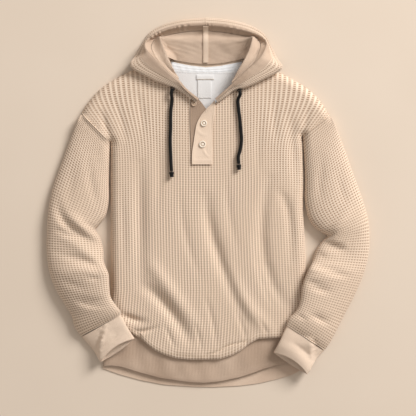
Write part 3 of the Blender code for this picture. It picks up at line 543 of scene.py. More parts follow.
def stitch_tree():
    tree, given = new_tree("stitches", {
        "Geometry": "NodeSocketGeometry", "Pitch": "NodeSocketFloat", "Thickness": "NodeSocketFloat",
        "Material": "NodeSocketMaterial"})
    line = tree.node("GeometryNodeMeshToCurve", given["Geometry"])
    steps = tree.node("GeometryNodeResampleCurve", named={"Curve": line, "Length": given["Pitch"]},
                      mode="LENGTH")
    thread = tree.node("GeometryNodeMeshUVSphere", named={"Segments": 6, "Rings": 4, "Radius": 0.5})
    tangent = tree.node("GeometryNodeInputTangent")
    turn = tree.node("FunctionNodeAlignRotationToVector", named={"Vector": tangent}, axis="X")
    size = tree.node("ShaderNodeCombineXYZ", given["Pitch"] * 0.72, given["Thickness"], given["Thickness"])
    placed = tree.node("GeometryNodeInstanceOnPoints", named={
        "Points": steps, "Instance": thread, "Rotation": turn, "Scale": size})
    return close_tree(tree, placed, given["Material"])


RELIEF = relief_tree()
STITCHES = stitch_tree()


def grow(obj, tree, **values):
    """Runs a tree on an object and keeps the result as the object's plain mesh."""
    modifier = obj.modifiers.new("grow", "NODES")
    modifier.node_group = tree
    for item in tree.interface.items_tree:
        if item.item_type == "SOCKET" and item.in_out == "INPUT" and item.name in values:
            modifier[item.identifier] = values[item.name]
    made = bpy.data.meshes.new_from_object(obj.evaluated_get(bpy.context.evaluated_depsgraph_get()))
    obj.modifiers.clear()
    obj.data = made
    made.name = obj.name
    return obj


def paint(obj, finish, node=None):
    """Gives a piece its material if it has none, hangs it under the root, and hides the solid that it
    replaces.
    """
    if not obj.data.materials:
        obj.data.materials.append(MATERIALS[finish])
    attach(obj, "root")
    if node:
        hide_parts(node)
    return obj


def lengths_of(grid, closed=False):
    """The mean length of a grid's rows and of its columns, and its area, all in metres."""
    loop = np.concatenate([grid, grid[:, :1]], axis=1) if closed else grid
    across = np.linalg.norm(np.diff(loop, axis=1), axis=2).sum(1)
    along = np.linalg.norm(np.diff(loop, axis=0), axis=2).sum(0)
    a = loop[1:, 1:] - loop[:-1, :-1]
    b = loop[1:, :-1] - loop[:-1, 1:]
    area = np.linalg.norm(np.cross(a, b), axis=2).sum() / 2
    return across.max() * MM, along.max() * MM, area * MM * MM


def declare_cloth(obj, grid, closed=False):
    """Prints the flat size and the area of a piece of cloth, from its grid."""
    width, length, area = lengths_of(grid, closed)
    area = min(area, width * length)
    print(obj.name, "flat", round(width * 1000), "x", round(length * 1000), "mm,", round(area * 1e4), "cm2")


WAFFLE_DEPTH = 1.25     # how deep the knit's hollows are


def waffle_piece(node, grid, cell, rests_on, depth=WAFFLE_DEPTH, **how):
    """A knit piece; in cell, u counts the main ribs and v the lesser ones."""
    obj = shell("made_" + node, grid, cell, WAFFLE, **how)
    knit = {"Depth": depth * MM, "Cross Rib": CROSS_RIB, "Material": MATERIALS["waffle_knit"]}
    grow(obj, RELIEF, **knit)
    paint(obj, "waffle_knit", node)
    declare_cloth(obj, grid, how.get("closed", False))
    return obj


def jersey_piece(node, grid, rests_on, wall, finish="plain_jersey", unit=(1.0, 1.0), shade=None, **how):
    """A plain piece; unit is one grid step's size across and along, and shade a copy of the jersey with
    painted light or painted shade, drawn instead of finish.
    """
    rows, columns = grid.shape[:2]
    cell = counted(rows, columns + bool(how.get("closed")), unit[1], unit[0])
    obj = shell("made_" + node, grid, cell, wall, **how)
    obj.data.materials.append(MATERIALS[shade or finish])
    paint(obj, finish, node)
    declare_cloth(obj, grid, how.get("closed", False))
    return obj

# %% [markdown]
# ## The drawcord comes first
# Two free ends hang out of the hood's casing, each with a knot near its tip. A cord has a fixed length, so
# it is a tube swept along one smooth curve, straight out of its eyelet, down onto the chest and along it.
# The braid is a low relief on the tube, where two families of strands wind round it in opposite directions.

# %% The drawcord's ends
CORD_DIAMETER = 7.4
CORD_ROUTES = {
    "right": np.array([
        (-77.7, 249.7, 32.7), (-79.7, 243.5, 34.2), (-79, 224, 28.7), (-81, 207, 28.7), (-82, 190, 28.7),
        (-82, 168, 28.7), (-83, 137, 28.7), (-82, 106, 29.2), (-81, 84, 30.0), (-80, 68, 30.5)]),
    "left": np.array([
        (68.8, 246.2, 32.8), (70.5, 239.9, 34.3), (65.5, 224, 28.7), (67, 207, 28.7), (69.5, 186, 28.7),
        (72, 160, 28.7), (73.5, 137, 28.7), (71, 117, 29.2), (66.5, 99, 30.0), (67.5, 84, 30.5)])}
STRANDS = 6


def tube(path, radii, sides, strands=STRANDS, relief=0.0):
    """Rings of points round a path, and their cells: strands round it and along it."""
    heading = unit(np.gradient(path, axis=0))
    side = unit(np.cross(heading, (0.0, 0.0, 1.0)))
    up = np.cross(side, heading)
    around = np.linspace(0, 2 * np.pi, sides, endpoint=False)
    along = np.concatenate([[0], np.cumsum(np.linalg.norm(np.diff(path, axis=0), axis=1))])
    turns = along / (CORD_DIAMETER * 1.6)
    u = around[None] / (2 * np.pi) * strands + 0 * turns[:, None]
    v = turns[:, None] * strands / 2 + 0 * u
    wave = np.sin(2 * np.pi * (u + v)) * np.sin(2 * np.pi * (u - v))
    r = radii[:, None] + relief * wave * (radii[:, None] > 1)
    rings = (path[:, None] + r[..., None] * (np.cos(around)[None, :, None] * side[:, None]
                                             + np.sin(around)[None, :, None] * up[:, None]))
    u = np.concatenate([u, u[:, :1] + strands], axis=1)
    v = np.concatenate([v, v[:, :1]], axis=1)
    return rings, np.stack([u, v], -1)


def capped(path, radius, sides, **how):
    """A tube with round ends."""
    along = np.concatenate([[0], np.cumsum(np.linalg.norm(np.diff(path, axis=0), axis=1))])
    from_end = np.minimum(along, along[-1] - along) / (radius * 0.4)
    radii = radius * np.sqrt(np.clip(1 - (1 - np.clip(from_end, 0, 1)) ** 2, 0, 1))
    return tube(path, radii, sides, **how)


def knot_body(start, heading):
    """A tight overhand knot with its short tail, as a turned body crossed by the strands of its loop."""
    profile = np.array([(0, 0), (3.4, 0.15), (4.9, 1.1), (5.1, 2.6), (5.0, 5.0), (4.3, 6.6), (3.8, 7.6),
                        (4.4, 9.0), (4.3, 10.6), (3.4, 11.6), (0, 11.6)], float)
    profile = resample(profile, 40)
    path = start + heading * profile[:, 1:]
    flat = start + heading * np.linspace(0, 11.6, 41)[:, None]
    rings, cell = tube(flat, np.ones(41), 28, strands=4)
    direction = unit(rings - flat[:, None])
    around = np.linspace(0, 2 * np.pi, 28, endpoint=False)
    place = profile[:, 1:] / 11.6
    swell = np.clip(np.sin(np.pi * np.clip(place / 0.62, 0, 1)), 0, 1)
    lobes = 0.45 * np.sin(2 * around[None] + 9 * place) * swell
    radius = np.clip(profile[:, :1] + lobes * (profile[:, :1] > 2), 0, 5.2)
    radius[[0, -1]] = 0
    return path[:, None] + direction * radius[..., None], cell


for side, route in CORD_ROUTES.items():
    path = resample(route, 150)
    path = np.concatenate([path[:1], path])
    path[0] += (path[1] - path[2]) * 0.02
    rings, cell = capped(path, CORD_DIAMETER / 2, 24, relief=0.2)
    cord = paint(skin("made_drawcord_" + side, rings, cell), "cord", "drawcord_" + side)
    heading = unit(path[-1] - path[-3])
    knot = knot_body(path[-1] + heading * SEAM, heading)
    knot = paint(skin("made_knot_" + side, *knot), "cord", "knot_" + side)

# %% [markdown]
# ## How the laid body stands
# The body is a flat tube of cloth on its back. Its front face stands 24 mm over the surface, because the
# two panels, seams and trapped air hold it up, and it rounds down at the sides and shoulders. On that
# height lie the folds: each row of the tables is one crease with its own place, width and depth, since
# real folds are never even. The same function tells every other piece what it lies on.

# %% The body's outline and folds
RIGHT_SIDE = np.array([
    (-233, -367), (-234, -353), (-229, -314), (-220, -259), (-214, -193),
    (-215, -105), (-216, 5), (-216, 133)], float)
LEFT_SIDE = np.array([
    (219, -362), (222, -325), (222, -281), (221, -215), (217, -138),
    (214, -72), (211, -17), (212, 49), (210.5, 98), (209, 147)], float)
RIGHT_SHOULDER = np.array([
    (-280, 198), (-269, 217), (-256, 234), (-240, 251), (-223, 264),
    (-197, 279), (-172, 291), (-139, 303), (-120, 307.6), (-106, 311)], float)
LEFT_SHOULDER = np.array([
    (101, 311), (114, 307), (127, 303), (154, 289), (171, 282), (196, 268),
    (217, 255), (234, 241), (251, 222), (270, 193)], float)
FRONT_NECK = np.array([
    (-104, 296), (-97, 284), (-82, 270), (-66, 258), (-50, 243), (-24, 221),
    (-3, 203), (19, 221), (36, 236), (53, 249), (71, 262), (93, 283), (99, 298)], float)
BACK_NECK = np.array([
    (-88, 313), (-69, 309), (-40, 304.5), (-5, 301), (28, 303.5), (61, 309), (84, 313)], float)
FRONT_TOP_EDGE = np.concatenate([RIGHT_SHOULDER, FRONT_NECK, LEFT_SHOULDER])
BACK_TOP_EDGE = np.concatenate([RIGHT_SHOULDER, BACK_NECK, LEFT_SHOULDER])
BLOUSE_EDGE = np.array([
    (-226, -296), (-172, -287), (-149, -299), (-133, -314), (-117, -326), (-96, -336),
    (-70, -344), (-40, -347), (25, -346), (51, -338), (72, -327), (91, -312),
    (110, -301), (160, -298), (222, -303)], float)
FRONT_BAND_EDGE = np.array([
    (-233, -362), (-212, -360), (-191, -363), (-149, -376), (-104, -388), (-40, -397),
    (-7, -398.5), (27, -395), (70, -386), (99, -377), (125, -367), (162, -357), (219, -353)], float)
BACK_BAND_SEAM = np.array([(-230, -314), (-149, -340), (0, -354), (151, -340), (222, -318)], float)
BACK_BAND_EDGE = np.array([
    (-233, -368), (-196, -381), (-149, -394), (-96, -404), (-25, -408.6), (15, -409),
    (72, -406), (112, -401), (151, -392), (190, -381), (219, -362)], float)
ARMHOLES = {
    "right": np.array([(-216, 133), (-280, 198)], float),
    "left": np.array([(209, 147), (270, 193)], float)}
HEM_STITCHES = np.array([
    (-172.5, -278.6), (-148.7, -299.3), (-130.2, -313.8), (-106.5, -324.8), (-82.7, -332.3), (-51, -335.8),
    (-11.4, -338), (19.4, -329.2), (45.8, -313.8), (72.2, -308.5), (92, -302.8)], float)

# x0, y0, x1, y1, x2, y2, half width, depth: three points along each fold
BODY_FOLDS = np.array([
    (-150, 82, -150, -39, -148, -160, 14, -7),
    (-143, -182, -91, -229, -43, -301, 13, -9.8),
    (-130, -129, -96, -177, -25, -274, 15, 5.6),
    (-4, 12, 19, -107, 85, -259, 13, -8.4),
    (38, -129, 80, -221, 140, -282, 15, 5.6),
    (133, 51, 120, -103, 165, -221, 13, -7),
    (181, 190, 190, 110, 196, 27, 13, -5.6),
    (157, 25, 178, -28, 182, -127, 10, -4.2),
    (-190, -246, -168, -256, -140, -262, 7.5, -8),
    (-176, -282, -146, -284, -112, -274, 5, -4.5)], float)
FINE_BODY_FOLDS = np.array([
    (-236, 206, -222, 160, -202, 118, 7, -4.5),     # from the right shoulder down to the armpit
    (-206, 232, -190, 178, -180, 128, 8, -2),
    (-160, 250, -146, 196, -148, 140, 9, -1.8),
    (226, 208, 212, 168, 198, 122, 7, -4),        # and the same on the left
    (150, 246, 146, 190, 150, 128, 9, -2),
    (118, 200, 110, 120, 112, 60, 9, -1.5),
    (-112, 150, -108, 60, -112, -30, 9, -1.7),
    (-60, 30, -50, -70, -14, -170, 9, -2),
    (40, 70, 46, -20, 70, -120, 9, -1.8),
    (-190, 40, -186, -60, -184, -150, 8, -1.8),
    (100, -40, 112, -150, 150, -240, 8, -2),
    (-8, -200, 10, -262, 18, -320, 6, -2.1),        # short gathers that run into the hem
    (60, -236, 76, -276, 84, -304, 5, -2),
    (-96, -268, -84, -296, -72, -322, 5, -2.1),
    (180, -210, 186, -250, 188, -284, 6, -2.1),
    (-206, -190, -200, -232, -196, -262, 6, -2.1),
    (-30, -262, -20, -296, -16, -326, 4.5, -1.8),
    (110, -250, 124, -276, 132, -294, 5, -1.8)], float)
FRONT_TOP = 24.0        # height of the front's outer face
EDGE_FLOOR = 3.3        # its height at the sides, where it meets the back
ROLL_WIDTH = 20.0       # how far in from the side it rounds down
CLEAR = 1.0             # between pieces that only lie on each other


def rounded(distance):
    """A quarter of an ellipse: 0 at an edge, 1 from the roll's width inwards."""
    f = np.clip(distance / ROLL_WIDTH, 0, 1)
    return np.sqrt(1 - (1 - f) ** 2)


def relief(folds, x, y, keep=0.25):
    """How far the folds raise or lower the cloth; each fades out towards its ends."""
    total = np.zeros(np.shape(x))
    t = np.linspace(0, 1, 6)[:, None]
    for fold in folds:
        start, middle, end = fold[0:2], fold[2:4], fold[4:6]
        line = start * (1 - t) ** 2 + (4 * middle - start - end) * t * (1 - t) + end * t * t
        gap, place = distance_to(line, x, y)
        total += fold[7] * (keep + (1 - keep) * np.sin(np.pi * place)) * np.exp(-(gap / fold[6]) ** 2)
    return total


def along_line(line, x, y, half_width):
    """1 on a sewn line, falling to 0 beside it."""
    return np.exp(-(distance_to(line, x, y)[0] / half_width) ** 2)


def front_height(x, y):
    """The front panel's outer face: flat with folds, rounded down at its sides and shoulders."""
    inside = np.ones(np.shape(x))
    for edge in (RIGHT_SIDE, LEFT_SIDE, RIGHT_SHOULDER[:-1], LEFT_SHOULDER[1:]):
        inside = inside * rounded(distance_to(edge, x, y)[0])
    z = FRONT_TOP + relief(BODY_FOLDS, x, y) + relief(FINE_BODY_FOLDS, x, y, 0.0)
    for seam in ARMHOLES.values():
        z = z + 1.2 * along_line(seam, x, y, 4.0)
    z = z - 2.0 * along_line(HEM_STITCHES, x, y, 2.4)
    return EDGE_FLOOR + (z - EDGE_FLOOR) * inside


print("chest height", front_height(np.array([0.0]), np.array([100.0])).round(1), "mm")

# %% [markdown]
# ## Front and back panels
# The knit's ribs run up the body, so a panel is a grid of columns and rows that are as wide as a third of a
# rib. The outer columns roll over the side at even steps along the cloth. Above the armpit new columns
# begin at the armhole's line, as they do where a knit is cut. Points outside the outline are pulled back
# onto it, and the rows run level from the chest down to the hem's curve.

# %% Front and back panels
BODY_WIDTH = 427.0
ROLL_ARC = 32.0
BODY_STEPS = 216
OUTSIDE = 8             # columns beyond each side, for the cloth above the armpits
BODY_ARC = BODY_WIDTH + 2 * (ROLL_ARC - ROLL_WIDTH)
BODY_ROWS = 366
TOP_LINE = 313.0
ARMPIT = 133.0
FAN = 56.0              # how far the ribs lean out at the shoulder's tip, beside the armhole
FAN_REACH = 118.0       # how far in from the side they do
FAN_RISE = 65.0         # from the armpit to the shoulder's tip
FAN_BEND = 0.45         # softness of the bend at the armpit, as a share of that rise
BEND_REACH = 45.0       # how far in from the side it is at its softest
RIGHT_BOUND = np.concatenate([RIGHT_SIDE, ARMHOLES["right"][1:]])
LEFT_BOUND = np.concatenate([LEFT_SIDE, ARMHOLES["left"][1:]])


def lean(inset, y):
    """How far a column leans out above the armpit: with the armhole at the side, and softer inwards."""
    rise = (y - ARMPIT) / FAN_RISE
    soft = FAN_BEND * np.clip(inset / BEND_REACH, 0, 1)
    bend = (rise + np.sqrt(rise ** 2 + soft ** 2)) / 2 * (1 - 0.25 * ease((rise - 1) / 1.6))
    return FAN * bend * np.clip(1 - np.maximum(inset, 0) / FAN_REACH, 0, 1) ** 1.6


def column_x(q, y):
    """The x of the columns at arc lengths q from the right side, at height y."""
    near = np.minimum(q, BODY_ARC - q)
    roll = ROLL_WIDTH * (1 - np.cos(np.clip(near / ROLL_ARC, 0, 1) * np.pi / 2))
    inset = np.where(near < 0, near, np.where(near < ROLL_ARC, roll, near - ROLL_ARC + ROLL_WIDTH))
    share = np.where(q < BODY_ARC / 2, inset, BODY_WIDTH - inset) / BODY_WIDTH
    right = side_at(RIGHT_SIDE, np.minimum(y, ARMPIT))
    left = side_at(LEFT_SIDE, np.minimum(y, ARMPIT))
    x = right + (left - right) * share
    x = x - lean(x - right, y)
    return x + lean(left - x, y)


def stop_at_edge(values, beyond):
    """Ends each column of a plan where beyond turns positive; all its later rows stay at that place."""
    after = np.maximum((beyond > 0).argmax(axis=0), 1)
    columns = np.arange(beyond.shape[1])
    low, high = beyond[after - 1, columns], beyond[after, columns]
    share = np.clip(low / (low - high), 0, 1)
    end = values[after - 1, columns] * (1 - share[:, None]) + values[after, columns] * share[:, None]
    past = np.arange(len(beyond))[:, None] >= np.where(beyond.max(axis=0) > 0, after, len(beyond))
    return np.where(past[..., None], end[None], values)


def panel_plan(hem, top):
    """Plan points of a panel and their cells: x, y, ribs across and ribs along."""
    q = BODY_ARC / BODY_STEPS * np.arange(-OUTSIDE, BODY_STEPS + OUTSIDE + 1)[None]
    t = np.linspace(0, 1, BODY_ROWS + 1)[:, None]
    y = np.broadcast_to(t * 600 - 300, (BODY_ROWS + 1, q.size))
    for _ in range(5):
        free_x = column_x(q, y)
        x = np.clip(free_x, side_at(RIGHT_BOUND, y), side_at(LEFT_BOUND, y))
        y = hem(x) + t * (TOP_LINE - hem(x))
    count = q.ravel() / (BODY_ARC / BODY_STEPS) / 3
    u = np.array([np.interp(row, free, count) for row, free in zip(x, free_x)])
    v = t * BODY_ROWS / 3 + 0 * u
    plan = stop_at_edge(np.stack([x, y, u, v], -1), y - edge_at(top, x))
    return tuple(np.moveaxis(plan, -1, 0))


BLOUSE_DEPTH = 12.0     # how far the front's lower edge rolls forward over the hem seam
BLOUSE_ROWS = 12
LOWEST_TURN = -50.0     # degrees below level at which the roll ends
SEAM_HEIGHT = 13.9
SEAM_TUCK = 4.3


def side_gap(x, y):
    """Distance of a hem point from the nearer side of the body."""
    return np.minimum(x - side_at(RIGHT_SIDE, y), side_at(LEFT_SIDE, y) - x)


def blouse_tuck(x, y):
    """How far back the hem seam lies under the blouse: nothing at the sides."""
    return -1.0 + (SEAM_TUCK + 1.0) * ease((side_gap(x, y) - 8) / 40)


def blouse_rows(x, y):
    """Rows round the blouse, where the front panel turns down to the hem seam."""
    edge = edge_at(BLOUSE_EDGE, x)
    crest = front_height(x, y)
    low = EDGE_FLOOR + (SEAM_HEIGHT - EDGE_FLOOR) * rounded(side_gap(x, edge))
    lowest = np.sin(np.radians(LOWEST_TURN))
    rows = []
    for angle in np.linspace(LOWEST_TURN, 90, BLOUSE_ROWS + 1)[:-1]:
        turn = np.radians(angle)
        tucked = ease((-5 - angle) / (-5 - LOWEST_TURN))
        forward = BLOUSE_DEPTH * (1 - np.cos(turn))
        forward = forward + (blouse_tuck(x, edge) - forward) * tucked
        z = low + (crest - low) * (np.sin(turn) - lowest) / (1 - lowest)
        rows.append(np.stack([x, edge + forward, z], -1))
    return np.array(rows)


def blouse_crest(x):
    return edge_at(BLOUSE_EDGE, x) + BLOUSE_DEPTH


x, y, u, v = panel_plan(blouse_crest, FRONT_TOP_EDGE)
front = np.stack([x, y, front_height(x, y)], -1)
front = np.concatenate([blouse_rows(x[0], y[0]), front])
below = np.linspace(-BLOUSE_ROWS / 3, 0, BLOUSE_ROWS + 1)[:-1, None] + 0 * u[:1]
cell = np.stack([np.concatenate([np.repeat(u[:1], BLOUSE_ROWS, 0), u]), np.concatenate([below, v])], -1)
FRONT = waffle_piece("front_body", front, cell, ["made_back_body"])


def above_back_seam(x):
    return edge_at(BACK_BAND_SEAM, x) + SEAM


x, y, u, v = panel_plan(above_back_seam, BACK_TOP_EDGE)
waffle_piece("back_body", np.stack([x, y, 0 * x], -1), np.stack([u, v], -1), ["floor"], flip=True)

# %% [markdown]
# ## The hem band
# The band is plain jersey folded double, with the fold as its lower edge. It is sewn on behind the blouse
# of the front panel, which is why its upper edge is in shade. It pulls in a little at its ends, and faint
# lines run up it where the ribs are.

# %% Hem band
BAND_TOP_HEIGHT = 13.3
BAND_EDGE_HEIGHT = 10.5
BAND_STEPS = 22
BAND_RIBS = 62.0        # ribs across the whole band


def band_columns(steps):
    """Shares across the band, closer together where it rolls over the sides."""
    return column_x(np.linspace(0, BODY_ARC, steps + 1), -300.0 + 0 * np.arange(steps + 1))


share = band_columns(210)
share = (share - share[0]) / (share[-1] - share[0])
top_x = BLOUSE_EDGE[0, 0] + (BLOUSE_EDGE[-1, 0] - BLOUSE_EDGE[0, 0]) * share
low_x = FRONT_BAND_EDGE[0, 0] + (FRONT_BAND_EDGE[-1, 0] - FRONT_BAND_EDGE[0, 0]) * share
top_y = edge_at(BLOUSE_EDGE, top_x)
top_y = top_y + blouse_tuck(top_x, top_y) - 2 * SEAM
f = np.linspace(0, 1, BAND_STEPS + 1)[:, None]
x = low_x * (1 - f) + top_x * f
y = edge_at(FRONT_BAND_EDGE, low_x) * (1 - f) + top_y * f
inside = rounded(np.where((share > 0) & (share < 1), side_gap(x, y), 0.0))
height = BAND_EDGE_HEIGHT + (BAND_TOP_HEIGHT - BAND_EDGE_HEIGHT) * f
ribs = 0.22 * np.cos(2 * np.pi * BAND_RIBS * share) * np.sin(np.pi * f) ** 0.5
uneven = 1.2 * np.sin(share * 23 + 1.3) * np.sin(share * 41 + 2 * f) * np.sin(np.pi * f)
fold = 0.9 * (1 - ease(f / 0.09))
z = BAND + SEAM + 1.0 + (height + ribs + uneven - fold - BAND - SEAM - 1.0) * inside
# painted shade: the band is drawn in the jersey's darker copy
jersey_piece("hem_band_front", np.stack([x, y, z], -1), ["made_hem_band_back"], BAND,
             unit=(2.6, 2.2), shade="shaded_jersey")

right = side_at(RIGHT_SIDE, -318.0)
left = side_at(LEFT_SIDE, -318.0)
share = np.linspace(0, 1, 121)
f = np.linspace(0, 1, 16)[:, None]
low_x = BACK_BAND_EDGE[0, 0] + (BACK_BAND_EDGE[-1, 0] - BACK_BAND_EDGE[0, 0]) * share
top_x = right + (left - right) * share
x = low_x * (1 - f) + top_x * f
y = edge_at(BACK_BAND_EDGE, low_x) * (1 - f) + (edge_at(BACK_BAND_SEAM, top_x) - SEAM) * f
jersey_piece("hem_band_back", np.stack([x, y, 0 * x], -1), ["floor"], BAND, unit=(4.2, 3.8), flip=True)

# %% [markdown]
# ## Sleeves
# A sleeve is a tube that lies flat, so a section is a low arch over the surface: its two side edges lie
# 8 mm up and its crown 20 to 35 mm. The table gives both edges of each section and its height. The sleeve
# starts at the armhole at the body's own height, and past the elbow its forearm rises onto the body. The
# knit's strongest ribs run across the arm here.

# %% Sections of a laid tube
RIGHT_SLEEVE = np.array([
    (-280, 198, -216, 133, 24), (-293, 168, -218, 82, 26), (-310, 124, -219, 40, 29),
    (-326, 80, -219, 5, 31), (-343, 32, -226, -29, 32), (-352, -10, -240, -49, 34),
    (-355, -39, -248, -61, 35), (-356, -65, -238, -78, 34), (-357, -100, -231, -105, 33),
    (-354, -136, -229, -131, 33), (-347, -166, -218, -155, 32), (-334, -197, -216, -180, 31),
    (-315, -228, -213, -206, 30), (-301, -252, -201, -226, 30), (-294, -277, -192, -237, 27),
    (-281, -295, -191, -245, 20)], float)
LEFT_SLEEVE = np.array([
    (270, 193, 209, 147, 24), (283, 166, 213, 98, 26), (301, 120, 214.5, 47, 29),
    (316, 78, 214, 7, 31), (332, 34, 222, -34, 32), (345, -4, 241, -59, 34),
    (354, -37, 264, -74, 35), (357, -70, 254, -84, 34), (356, -105, 240, -103, 33),
    (349, -142, 231, -129, 33), (337, -177, 217, -153, 32), (320, -214, 206, -184, 31),
    (300, -252, 202, -215, 30), (281, -290, 193, -237, 30), (268, -313, 178, -253, 27),
    (258, -326, 172, -268, 20)], float)
RIGHT_CUFF = np.array([
    (-280, -296, -192.5, -245.5, 18), (-268, -310, -184, -259, 19),
    (-257, -323, -178, -272, 18), (-236, -351, -161, -298, 17)], float)
LEFT_CUFF = np.array([
    (257, -327, 173.5, -269, 18), (246, -338, 166, -284, 19),
    (236, -351, 159, -300, 18), (219, -378, 144, -329, 17)], float)
RIGHT_SLEEVE_FOLDS = np.array([
    (-302, -28, -275, -52, -231, -84, 10, 6.2),
    (-330, -1, -309, -49, -241, -92, 9, -6.2),
    (-315, -81, -257, -115, -223, -144, 11, 5),
    (-304, -122, -254, -136, -236, -149, 9, -5),
    (-286, -212, -250, -217, -216, -212, 9, -3.8)], float)
LEFT_SLEEVE_FOLDS = np.array([
    (266, -72, 282, -55, 312, -20, 10, 6.2),
    (246, -88, 275, -99, 305, -105, 10, -6.2),
    (222, -136, 265, -147, 310, -160, 9, -5),
    (213, -171, 240, -184, 268, -193, 9, -3.8),
    (224, -241, 245, -254, 268, -263, 9, -3.8)], float)
FINE_RIGHT_FOLDS = np.array([
    (-262, 116, -256, 40, -240, -10, 9, -2.5),
    (-296, 96, -302, 40, -312, -6, 10, -2.2),
    (-340, -52, -310, -70, -262, -82, 6, -2.5),
    (-346, -108, -310, -116, -272, -118, 6, -2.2),
    (-286, -44, -262, -50, -244, -58, 4.5, -2.2),
    (-262, -164, -246, -166, -232, -166, 5, -2.8),
    (-292, -214, -256, -226, -214, -224, 5, -2.8),
    (-324, -166, -296, -180, -262, -186, 7, -2)], float)
FINE_LEFT_FOLDS = np.array([
    (252, 112, 246, 50, 244, -6, 9, -2.5),
    (286, 84, 292, 30, 302, -10, 10, -2.1),
    (246, -80, 274, -92, 306, -106, 5, -2.8),
    (236, -112, 250, -118, 258, -124, 5, -2.8),
    (222, -136, 262, -148, 310, -160, 4.5, -2.5),
    (213, -171, 240, -184, 268, -193, 4.5, -2.5),
    (224, -241, 250, -254, 272, -263, 4.5, -2.2),
    (191, -244, 203, -250, 214, -255, 4, -2.2),
    (330, -60, 316, -86, 300, -98, 7, -2.2)], float)
HALF = 16
SLEEVE_EDGE = 8.0
CUFF_EDGE = 6.0
SLEEVE_OPEN = 9.0
SLEEVE_CLEAR = 3.0
BAND_CLEAR = 4.0
CROWN_POWER = 0.75
UNDER_POWER = 0.4
ARM_JOIN = 2.2
LIFT_START = 7.5
LIFT_ROWS = 2.2
TIP_GAP = 0.9


def over_side(side, x, y):
    """What a forearm lies on: the front panel and band, then down over the body's side."""
    edge = side_at(side, y)
    distance = np.where(y > -350, distance_to(side, x, y)[0], np.abs(x - edge))
    distance = np.where(np.abs(x) > np.abs(edge), -distance, distance)
    top = FRONT_TOP + SLEEVE_CLEAR
    top = top + (BAND_TOP_HEIGHT + BAND_CLEAR - top) * ease((-305 - y) / 35)
    return top * ease((distance + 24) / 20)


def rings(stations, edge, lifted, side, folds, fine, joined=0.0, armhole=None):
    """Sections of a tube: over its top from the inner to the outer edge, then back under it."""
    k = np.arange(2 * HALF)
    over = k <= HALF
    k = np.where(over, k, 2 * HALF - k)
    s = (1 - np.cos(np.pi * k / HALF)) / 2
    arch = np.maximum(np.sin(np.pi * k / HALF), 0)
    outer_x, outer_y, inner_x, inner_y, thickness = (column[:, None] for column in stations.T)
    x = inner_x + (outer_x - inner_x) * s
    y = inner_y + (outer_y - inner_y) * s
    rest = over_side(side, x, y) * lifted
    base = over_side(side, inner_x, inner_y) * (1 - s) + over_side(side, outer_x, outer_y) * s
    base = base * lifted
    crown = (thickness - edge + relief(folds, x, y)) * arch ** CROWN_POWER + relief(fine, x, y, 0.0) * arch
    z = np.maximum(base + edge + crown, rest + edge * (1 - arch) + SLEEVE_OPEN * arch)
    z = np.where(over, z, rest + edge * (1 - arch ** UNDER_POWER))
    if armhole is not None:
        body_z = np.where(over, front_height(x, y), 0.0)
        body_z[:, [0, HALF]] = WAFFLE / 2
        z = z + (body_z - z) * joined + 1.4 * over * arch ** 0.3 * along_line(armhole, x, y, 3.5)
    return np.stack([x, y, z], -1)


# %% Sleeves
SLEEVE_ACROSS = 126     # grid columns round a sleeve
SLEEVE_ALONG = 276      # grid rows along it


def sleeve(side, stations, side_line, folds, fine):
    t = np.linspace(0, len(stations) - 1, 52)
    rows = smooth_rows(stations, t)
    joined = (1 - ease(t / ARM_JOIN))[:, None]
    lifted = ease((t - LIFT_START) / LIFT_ROWS)[:, None]
    grid = rings(rows, SLEEVE_EDGE, lifted, side_line, folds, fine, joined, ARMHOLES[side])
    drop = (grid[2, HALF] - grid[0, HALF] + grid[2, 0] - grid[0, 0]) / 2
    drop[2] = 0
    k = np.arange(2 * HALF)
    s = (1 - np.cos(np.pi * np.minimum(k, 2 * HALF - k) / HALF)) / 2
    start = SEAM + TIP_GAP * s[:, None] ** 4
    grid[0] = grid[0] + unit(drop) * start
    grid = np.roll(grid, HALF // 2, axis=1)     # begins under the sleeve, out of sight
    grid = resample(grid, SLEEVE_ALONG)
    grid = resample(grid.swapaxes(0, 1), SLEEVE_ACROSS, closed=True).swapaxes(0, 1)
    cell = counted(SLEEVE_ALONG + 1, SLEEVE_ACROSS + 1, 1 / 3, 1 / 3)[..., ::-1]
    return waffle_piece("sleeve_" + side, grid, cell, ["made_front_body", "floor"], closed=True,
                        flip=side == "left")


SLEEVES = {
    "right": sleeve("right", RIGHT_SLEEVE, RIGHT_SIDE, RIGHT_SLEEVE_FOLDS, FINE_RIGHT_FOLDS),
    "left": sleeve("left", LEFT_SLEEVE, LEFT_SIDE, LEFT_SLEEVE_FOLDS, FINE_LEFT_FOLDS)}

# %% [markdown]
# ## Cuffs
# A cuff is a short doubled tube of plain jersey. Its upper layer ends a little before its lower one, so the
# dark inside of the mouth shows, and fine ribs run along it.

# %% Cuffs
MOUTH_FRONT = 10.0
MOUTH_BACK = 3.0
NO_FOLDS = np.zeros((0, 8))
CUFF_FOLDS = np.array([
    (-252, -316, -232, -306, -212, -294, 6, -0.7), (-222, -292, -214, -298, -206, -310, 6, -0.5),
    (232, -346, 214, -338, 196, -322, 6, -0.7), (196, -296, 190, -306, 182, -318, 6, -0.5)], float)


